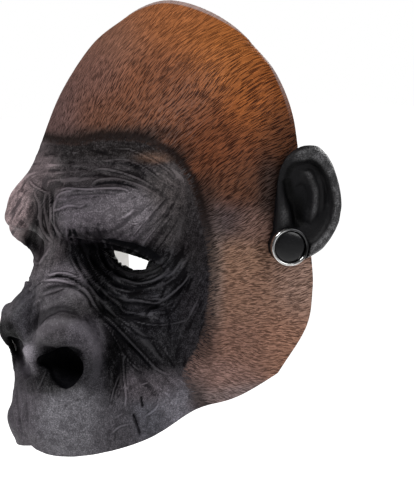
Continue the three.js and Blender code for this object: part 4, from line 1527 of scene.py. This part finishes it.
# Fur: painted shade in the cut strokes, painted highlight on the pale strokes, and a random grain
CUT_TINT = (0.13, 0.08, 0.055, 1.0)
LIGHT_STROKE_TINT = (1.9, 1.9, 2.0, 1.0)
GRAIN_TINT = (0.5, 0.44, 0.4, 1.0)
# Painted shade along the hairline
HAIRLINE_COLOUR = (0.012, 0.007, 0.006, 1.0)
RIM_BAND_COLOUR = (0.42, 0.32, 0.3, 1.0)
# Pale skin shade: random specks of wear, and painted highlights on raised lines, rolls and streaks
WEAR_AND_HIGHLIGHT_TINT = (2.3, 2.3, 2.3, 1.0)
WEAR_AND_HIGHLIGHT_LIFT = (0.025, 0.024, 0.026, 1.0)
# Dark skin shade: random patches and pits, and painted shade beside raised lines, along streaks and in hollows
DARK_SKIN_TINT = (0.22, 0.21, 0.23, 1.0)
# Painted shade: near black in cut and sunk lines and in the nostril
PAINTED_SHADE_BLACK = (0.002, 0.002, 0.003, 1.0)
INSIDE_COLOURS = ((0.93, 0.92, 0.9, 1.0), (0.86, 0.84, 0.81, 1.0))
EDGE_COLOURS = ((0.4, 0.36, 0.35, 1.0), (0.25, 0.21, 0.2, 1.0))
# Ear: painted shade from deep in the cup up to the rim, a speckled painted highlight on raised edges, painted
# shade in sunk folds
EAR_DEEP_COLOUR = (0.004, 0.004, 0.005, 1.0)
EAR_RIM_COLOUR = (0.02, 0.019, 0.02, 1.0)
EAR_SPECKLED_HIGHLIGHT = (0.2, 0.197, 0.205, 1.0)
EAR_SUNK_COLOUR = (0.001, 0.001, 0.001, 1.0)
PLATING_COLOUR = (0.78, 0.78, 0.78, 1.0)
TARNISH_COLOUR = (0.5, 0.49, 0.47, 1.0)
RING_SHADE_COLOUR = (0.02, 0.02, 0.022, 1.0)
PLASTIC_COLOUR = (0.006, 0.006, 0.007, 1.0)
SCUFF_COLOUR = (0.014, 0.014, 0.016, 1.0)
CAP_ROUGHNESS = 0.2
POST_ROUGHNESS = 0.35
FLOOR_COLOURS = ((0.93, 0.93, 0.93, 1.0), (0.97, 0.97, 0.97, 1.0))


def new_material(name):
    material = bpy.data.materials.new(name)
    material.use_nodes = True
    tree = material.node_tree
    return material, tree, tree.nodes["Principled BSDF"]


def add_node(tree, kind, inputs=None, **settings):
    node = tree.nodes.new(kind)
    for key, value in settings.items():
        setattr(node, key, value)
    for key, value in (inputs or {}).items():
        if isinstance(value, bpy.types.NodeSocket):
            tree.links.new(value, node.inputs[key])
        else:
            node.inputs[key].default_value = value
    return node


def math_node(tree, operation, first, second):
    return add_node(tree, "ShaderNodeMath", {0: first, 1: second}, operation=operation).outputs[0]


def plus(tree, first, second):
    return math_node(tree, "ADD", first, second)


def minus(tree, first, second):
    return math_node(tree, "SUBTRACT", first, second)


def times(tree, first, second):
    return math_node(tree, "MULTIPLY", first, second)


def larger(tree, first, second):
    return math_node(tree, "MAXIMUM", first, second)


def spread_between(tree, value, low, high, to_low=0.0, to_high=1.0):
    """Value taken smoothly from (low, high) to (to_low, to_high)."""
    inputs = {"Value": value, "From Min": low, "From Max": high, "To Min": to_low, "To Max": to_high}
    return add_node(tree, "ShaderNodeMapRange", inputs, interpolation_type="SMOOTHSTEP").outputs["Result"]


def mixed(tree, share, first, second, blend="MIX"):
    inputs = {0: share, 6: first, 7: second}
    return add_node(tree, "ShaderNodeMix", inputs, data_type="RGBA", blend_type=blend).outputs[2]


def attribute(tree, name, output="Fac"):
    return add_node(tree, "ShaderNodeAttribute", attribute_name=name).outputs[output]


def object_place(tree, per_metre):
    place = add_node(tree, "ShaderNodeTexCoord").outputs["Object"]
    scale = (per_metre, per_metre, per_metre)
    return add_node(tree, "ShaderNodeMapping", {"Vector": place, "Scale": scale}).outputs["Vector"]


def noise_value(tree, place, scale, detail=3.0, roughness=0.55, distortion=0.0):
    inputs = {
        "Vector": place,
        "Scale": scale,
        "Detail": detail,
        "Roughness": roughness,
        "Distortion": distortion,
    }
    return add_node(tree, "ShaderNodeTexNoise", inputs).outputs["Fac"]


def tinted(tree, paint, tint):
    return mixed(tree, 1.0, paint, tint, "MULTIPLY")


def bump(tree, height, distance):
    inputs = {"Height": height, "Distance": distance, "Strength": 1.0}
    return add_node(tree, "ShaderNodeBump", inputs).outputs["Normal"]


def stroke_cells(tree, place, shift, size, slant, low, high):
    """Strokes from 0 to 1 along the lie of the hair, one in each stretched cell."""
    inputs = {
        "Vector": place,
        "Location": (shift, 0.37 * shift, 0.0),
        "Rotation": (0.0, 0.0, math.radians(slant)),
        "Scale": (size[0], size[1], 1.0),
    }
    cells = add_node(tree, "ShaderNodeMapping", inputs, vector_type="TEXTURE")
    voronoi = add_node(tree, "ShaderNodeTexVoronoi", {
        "Vector": cells.outputs["Vector"],
        "Scale": 1.0,
        "Randomness": 1.0,
    }, voronoi_dimensions="2D", feature="F1")
    return spread_between(tree, voronoi.outputs["Distance"], low, high, 1.0, 0.0)


def hair_strokes(tree):
    """Dark cut strokes and light strokes between them."""
    lie = add_node(tree, "ShaderNodeUVMap", uv_map="hair").outputs["UV"]
    wander = noise_value(tree, lie, 0.022, 1.0)
    sideways = add_node(tree, "ShaderNodeCombineXYZ", {"X": times(tree, wander, 16.0)})
    inputs = {0: lie, 1: sideways.outputs["Vector"]}
    place = add_node(tree, "ShaderNodeVectorMath", inputs, operation="ADD").outputs["Vector"]
    first = stroke_cells(tree, place, 0.0, (1.15, 12.0), 4.0, 0.16, 0.24)
    second = stroke_cells(tree, place, 41.0, (1.3, 15.0), -4.0, 0.14, 0.22)
    third = stroke_cells(tree, place, 67.0, (1.5, 10.0), 9.0, 0.12, 0.2)
    cut = larger(tree, larger(tree, first, second), times(tree, third, 0.8))
    light = stroke_cells(tree, place, 83.0, (1.1, 13.0), 2.0, 0.13, 0.24)
    return lie, cut, light


def fur_colour(tree, lie, grooves, light):
    """Brown paint with a fine grain along the hair, pale strokes as painted highlights, and dark cut strokes as
    painted shade in their grooves.
    """
    paint = attribute(tree, "fur_paint", "Color")
    stretched = add_node(tree, "ShaderNodeMapping", {"Vector": lie, "Scale": (1.6, 0.22, 1.0)})
    fine = noise_value(tree, stretched.outputs["Vector"], 1.0, 2.0, 0.6)
    rise = attribute(tree, "rise")
    strength = spread_between(tree, rise, -0.5, 0.35, 0.6, 0.95)
    strength = times(tree, strength, spread_between(tree, rise, 0.6, 0.95, 1.0, 0.55))
    dark = tinted(tree, paint, CUT_TINT)
    pale = tinted(tree, paint, LIGHT_STROKE_TINT)
    soft_dark = tinted(tree, paint, GRAIN_TINT)
    # Painted highlights along the pale strokes
    colour = mixed(tree, times(tree, light, 0.75), paint, pale)
    colour = mixed(tree, spread_between(tree, fine, 0.52, 0.36, 0.0, 0.75), colour, soft_dark)
    colour = mixed(tree, spread_between(tree, fine, 0.56, 0.7, 0.0, 0.5), colour, pale)
    # Painted shade in the cut strokes' grooves
    return mixed(tree, times(tree, grooves, strength), colour, dark)


def skin_colour(tree, mm):
    """Grey-black skin with random patches, pits and pale specks of wear; painted highlights on raised lines,
    rolls and the streaks' high lines; painted shade beside raised lines, along the streaks' low lines, in the
    hollows, in cut and sunk lines and in the nostril.
    """
    paint = attribute(tree, "skin_paint", "Color")
    # pale carries the specks of wear and the painted highlights; dark carries the random patches and pits and
    # the painted shade
    pale = mixed(tree, 1.0, tinted(tree, paint, WEAR_AND_HIGHLIGHT_TINT), WEAR_AND_HIGHLIGHT_LIFT, "ADD")
    dark = tinted(tree, paint, DARK_SKIN_TINT)
    speck_noise = noise_value(tree, mm, 1.5, 2.0, 0.8)
    specks = spread_between(tree, speck_noise, 0.5, 0.64)
    pits = spread_between(tree, speck_noise, 0.48, 0.36)
    patches = spread_between(tree, noise_value(tree, mm, 0.3, 4.0, 0.65), 0.38, 0.62)
    jitter_noise = noise_value(tree, mm, 1.1, 3.0, 0.7)
    jitter = times(tree, minus(tree, jitter_noise, 0.5), 1.2)
    streaks = plus(tree, attribute(tree, "fine_streaks"), times(tree, jitter, 0.7))
    broad = plus(tree, attribute(tree, "broad_streaks"), times(tree, jitter, 0.5))
    colour = mixed(tree, spread_between(tree, patches, 0.45, 0.0, 0.0, 0.45), paint, dark)
    worn = times(tree, specks, spread_between(tree, patches, 0.0, 1.0, 0.25, 0.75))
    colour = mixed(tree, worn, colour, pale)
    colour = mixed(tree, times(tree, pits, 0.55), colour, dark)
    # Streaks: painted shade along their low lines and painted highlight along their high lines, following their
    # relief
    colour = mixed(tree, spread_between(tree, streaks, -0.12, -0.5, 0.0, 0.92), colour, dark)
    colour = mixed(tree, spread_between(tree, streaks, 0.25, 0.65, 0.0, 0.85), colour, pale)
    colour = mixed(tree, spread_between(tree, broad, -0.15, -0.7, 0.0, 0.8), colour, dark)
    colour = mixed(tree, spread_between(tree, broad, 0.35, 0.9, 0.0, 0.45), colour, pale)
    swell = attribute(tree, "swell")
    # Painted shade in the hollows and painted light on the rolls
    colour = mixed(tree, spread_between(tree, swell, -0.2, -1.5, 0.0, 0.85), colour, dark)
    colour = mixed(tree, spread_between(tree, swell, 0.8, 2.0, 0.0, 0.3), colour, pale)
    # Wrinkle lines: painted shade beside raised lines, painted highlight on their crests, painted shade in cut
    # lines
    gap = plus(tree, attribute(tree, "line_gap"), times(tree, jitter, 0.9))
    tall = attribute(tree, "line_height")
    crest = times(tree, spread_between(tree, gap, 1.05, 0.3), spread_between(tree, tall, 0.1, 0.7))
    beside = times(tree, spread_between(tree, gap, 2.6, 1.6), spread_between(tree, gap, 0.9, 1.5))
    beside = times(tree, beside, spread_between(tree, tall, 0.1, 0.8))
    cut = times(tree, spread_between(tree, gap, 1.9, 0.7), spread_between(tree, tall, -0.1, -0.8))
    colour = mixed(tree, times(tree, beside, 0.85), colour, dark)
    colour = mixed(tree, times(tree, crest, 0.8), colour, pale)
    colour = mixed(tree, times(tree, cut, 0.92), colour, PAINTED_SHADE_BLACK)
    # Painted shade in sunk wrinkles, the lip's split and the nostril
    sunk = spread_between(tree, attribute(tree, "wrinkles"), -0.3, -1.2, 0.0, 0.8)
    sunk = larger(tree, sunk, spread_between(tree, attribute(tree, "nostril"), 0.0, 0.35))
    return mixed(tree, times(tree, sunk, 0.8), colour, PAINTED_SHADE_BLACK)


def painted_latex():
    """Brown painted fur with cut strokes, over bare black skin with painted highlights on its ridges and painted
    shade in its hollows, and a band of painted shade along the hairline.
    """
    material, tree, shader = new_material("painted_latex")
    mm = object_place(tree, MM_PER_METRE)
    lie, cut, light = hair_strokes(tree)
    bare = attribute(tree, "bare")
    grooves = larger(tree, times(tree, attribute(tree, "strokes"), 0.35), cut)
    ragged = times(tree, minus(tree, grooves, 0.3), 9.0)
    skin_share = spread_between(tree, plus(tree, bare, ragged), -2.5, 3.0)
    colour = mixed(tree, skin_share, fur_colour(tree, lie, grooves, light), skin_colour(tree, mm))
    # Painted shade: a near-black band along the hairline, where the fur's edge overhangs the skin, stronger
    # higher up
    edge = plus(tree, bare, times(tree, grooves, 5.0))
    edge = times(tree, spread_between(tree, edge, -9.0, -2.0), spread_between(tree, edge, 6.0, 1.0))
    edge = times(tree, edge, spread_between(tree, attribute(tree, "rise"), -0.3, 0.3, 0.35, 0.95))
    colour = mixed(tree, edge, colour, HAIRLINE_COLOUR)
    near_rim = spread_between(tree, attribute(tree, "rim_gap"), 3.2, 2.0)
    band = times(tree, near_rim, spread_between(tree, attribute(tree, "rise"), 0.45, 0.75))
    colour = mixed(tree, times(tree, band, 0.85), colour, RIM_BAND_COLOUR)
    tree.links.new(colour, shader.inputs["Base Color"])

    grain = noise_value(tree, mm, 0.9, 4.0, 0.6)
    streaks = spread_between(tree, attribute(tree, "fine_streaks"), -0.8, 0.8)
    skin_height = plus(tree, times(tree, grain, 0.5), times(tree, streaks, 0.6))
    fur_height = minus(tree, times(tree, light, 0.3), grooves)
    height = add_node(tree, "ShaderNodeMix", {0: skin_share, 2: fur_height, 3: skin_height}).outputs[0]
    tree.links.new(bump(tree, height, 0.0005), shader.inputs["Normal"])
    tree.links.new(spread_between(tree, grain, 0.3, 0.7, 0.42, 0.6), shader.inputs["Roughness"])
    tree.links.new(spread_between(tree, colour, 0.002, 0.03, 0.03, 0.18), shader.inputs["Specular IOR Level"])
    return material


def plain_latex(name, colour, shade):
    """Unpainted latex with faint mottling from the mould."""
    material, tree, shader = new_material(name)
    mm = object_place(tree, MM_PER_METRE)
    cloud = spread_between(tree, noise_value(tree, mm, 0.08, 4.0), 0.3, 0.7)
    tree.links.new(mixed(tree, cloud, colour, shade), shader.inputs["Base Color"])
    tree.links.new(bump(tree, noise_value(tree, mm, 0.7, 3.0), 0.0002), shader.inputs["Normal"])
    shader.inputs["Roughness"].default_value = 0.6
    return material


def black_latex():
    """Near-black ear latex: painted shade deep in the cup and in the sunk folds, and a speckled painted
    highlight on its raised edges.
    """
    material, tree, shader = new_material("black_latex")
    mm = object_place(tree, MM_PER_METRE)
    specks = spread_between(tree, noise_value(tree, mm, 1.6, 3.0, 0.75), 0.36, 0.64)
    patches = spread_between(tree, noise_value(tree, mm, 0.22, 3.0, 0.6), 0.38, 0.6)
    height = attribute(tree, "height")
    lift = attribute(tree, "lift")
    on_folds = spread_between(tree, lift, 0.12, 0.34, 0.0, 0.4)
    raised = larger(tree, spread_between(tree, height, 0.64, 0.95), on_folds)
    sunk = spread_between(tree, lift, -0.03, -0.16)
    speckled = times(tree, specks, spread_between(tree, patches, 0.0, 1.0, 0.35, 1.0))
    # Painted shade: darker deeper in the cup and at the root, lighter towards the rim
    toward_rim = spread_between(tree, height, 0.1, 0.6, 0.0, 0.5)
    colour = mixed(tree, toward_rim, EAR_DEEP_COLOUR, EAR_RIM_COLOUR)
    # Speckled painted highlight on the raised rim and folds
    colour = mixed(tree, times(tree, raised, speckled), colour, EAR_SPECKLED_HIGHLIGHT)
    # Painted shade in the sunk folds
    colour = mixed(tree, times(tree, sunk, 0.9), colour, EAR_SUNK_COLOUR)
    tree.links.new(colour, shader.inputs["Base Color"])
    grain = noise_value(tree, mm, 0.9, 4.0, 0.65)
    tree.links.new(bump(tree, grain, 0.0004), shader.inputs["Normal"])
    tree.links.new(spread_between(tree, grain, 0.3, 0.7, 0.34, 0.55), shader.inputs["Roughness"])
    tree.links.new(spread_between(tree, colour, 0.002, 0.03, 0.1, 0.3), shader.inputs["Specular IOR Level"])
    return material


def polished_metal():
    """Bright plated ring with faint turning marks and a little tarnish, darkened by painted shade towards its
    rear and top.
    """
    material, tree, shader = new_material("ring_metal")
    mm = object_place(tree, MM_PER_METRE)
    tarnish = spread_between(tree, noise_value(tree, mm, 0.35, 4.0), 0.45, 0.75)
    colour = mixed(tree, tarnish, PLATING_COLOUR, TARNISH_COLOUR)
    # Painted shade: the ring darkens towards its rear and top
    rear = spread_between(tree, attribute(tree, "rearward"), -0.15, 0.45, 0.0, 0.94)
    colour = mixed(tree, rear, colour, RING_SHADE_COLOUR)
    tree.links.new(colour, shader.inputs["Base Color"])
    shader.inputs["Metallic"].default_value = 1.0
    tree.links.new(spread_between(tree, tarnish, 0.0, 1.0, 0.12, 0.26), shader.inputs["Roughness"])
    tree.links.new(bump(tree, noise_value(tree, mm, 3.0, 2.0), 0.00002), shader.inputs["Normal"])
    return material


def glossy_black(name, roughness):
    """Moulded black plastic with fine scuffs."""
    material, tree, shader = new_material(name)
    mm = object_place(tree, MM_PER_METRE)
    scuffs = spread_between(tree, noise_value(tree, mm, 1.5, 3.0, 0.6, 1.5), 0.55, 0.75)
    tree.links.new(mixed(tree, scuffs, PLASTIC_COLOUR, SCUFF_COLOUR), shader.inputs["Base Color"])
    dulled = spread_between(tree, scuffs, 0.0, 1.0, roughness, roughness + 0.12)
    tree.links.new(dulled, shader.inputs["Roughness"])
    tree.links.new(bump(tree, noise_value(tree, mm, 0.5, 2.0), 0.00005), shader.inputs["Normal"])
    return material


def pale_floor():
    material, tree, shader = new_material("pale_floor")
    place = object_place(tree, 1)
    cloud = noise_value(tree, place, 2.0, 3.0)
    tree.links.new(mixed(tree, cloud, *FLOOR_COLOURS), shader.inputs["Base Color"])
    shader.inputs["Roughness"].default_value = 0.9
    shader.inputs["Emission Color"].default_value = WHITE
    seen_directly = add_node(tree, "ShaderNodeLightPath").outputs["Is Camera Ray"]
    glow = spread_between(tree, seen_directly, 0.0, 1.0, FLOOR_GLOW, 1.0)
    tree.links.new(glow, shader.inputs["Emission Strength"])
    return material


# Studio

def add_area_light(name, place, size, watts):
    data = bpy.data.lights.new(name, "AREA")
    data.shape = "DISK"
    data.size = size
    data.energy = watts
    light = bpy.data.objects.new(name, data)
    bpy.context.scene.collection.objects.link(light)
    light.location = place
    light.rotation_euler = (-Vector(place)).to_track_quat("-Z", "Y").to_euler()


def from_camera(right_share, up_share, back_share):
    """Place given along the camera's own axes, in metres from the origin."""
    right, up, back = camera_axes()
    return tuple(right_share * right + up_share * up + back_share * back)


def make_studio():
    world = bpy.data.worlds.new("studio")
    world.use_nodes = True
    tree = world.node_tree
    background = tree.nodes["Background"]
    seen_directly = add_node(tree, "ShaderNodeLightPath").outputs["Is Camera Ray"]
    tree.links.new(spread_between(tree, seen_directly, 0.0, 1.0, AMBIENT, 1.0), background.inputs["Strength"])
    background.inputs["Color"].default_value = WHITE
    bpy.context.scene.world = world
    for name, place, size, watts in LIGHTS:
        add_area_light(name, from_camera(*place), size, watts)
    bpy.context.scene.view_settings.view_transform = "Standard"
    bpy.context.scene.view_settings.look = "None"


def make_floor():
    half = FLOOR_SIZE / 2
    corners = [(-half, -half), (half, -half), (half, half), (-half, half)]
    points = np.array([(x, y, FLOOR_HEIGHT) for x, y in corners])
    floor = new_object("floor", points, np.array([(0, 1, 2), (0, 2, 3)]), [pale_floor()])


def main():
    make_camera()
    shell_materials = [
        painted_latex(),
        plain_latex("inner_latex", *INSIDE_COLOURS),
        plain_latex("cut_edge", *EDGE_COLOURS),
    ]
    shell = mask_shell(shell_materials)
    shape = BVHTree.FromObject(shell, bpy.context.evaluated_depsgraph_get())
    ear_material = black_latex()
    metal = polished_metal()
    cap_plastic = glossy_black("cap_plastic", CAP_ROUGHNESS)
    post_plastic = glossy_black("post_plastic", POST_ROUGHNESS)
    for side, name in ((1, "left"), (-1, "right")):
        ear("ear_" + name, side, shape, ear_material)
        turned_on_ear("button_ring_" + name, side, ring_profile(), True, metal)
        turned_on_ear("button_cap_" + name, side, cap_profile(), False, cap_plastic)
        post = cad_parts["rivet_post_" + name]
        for slot in post.material_slots:
            slot.material = post_plastic
    make_studio()
    make_floor()


main()
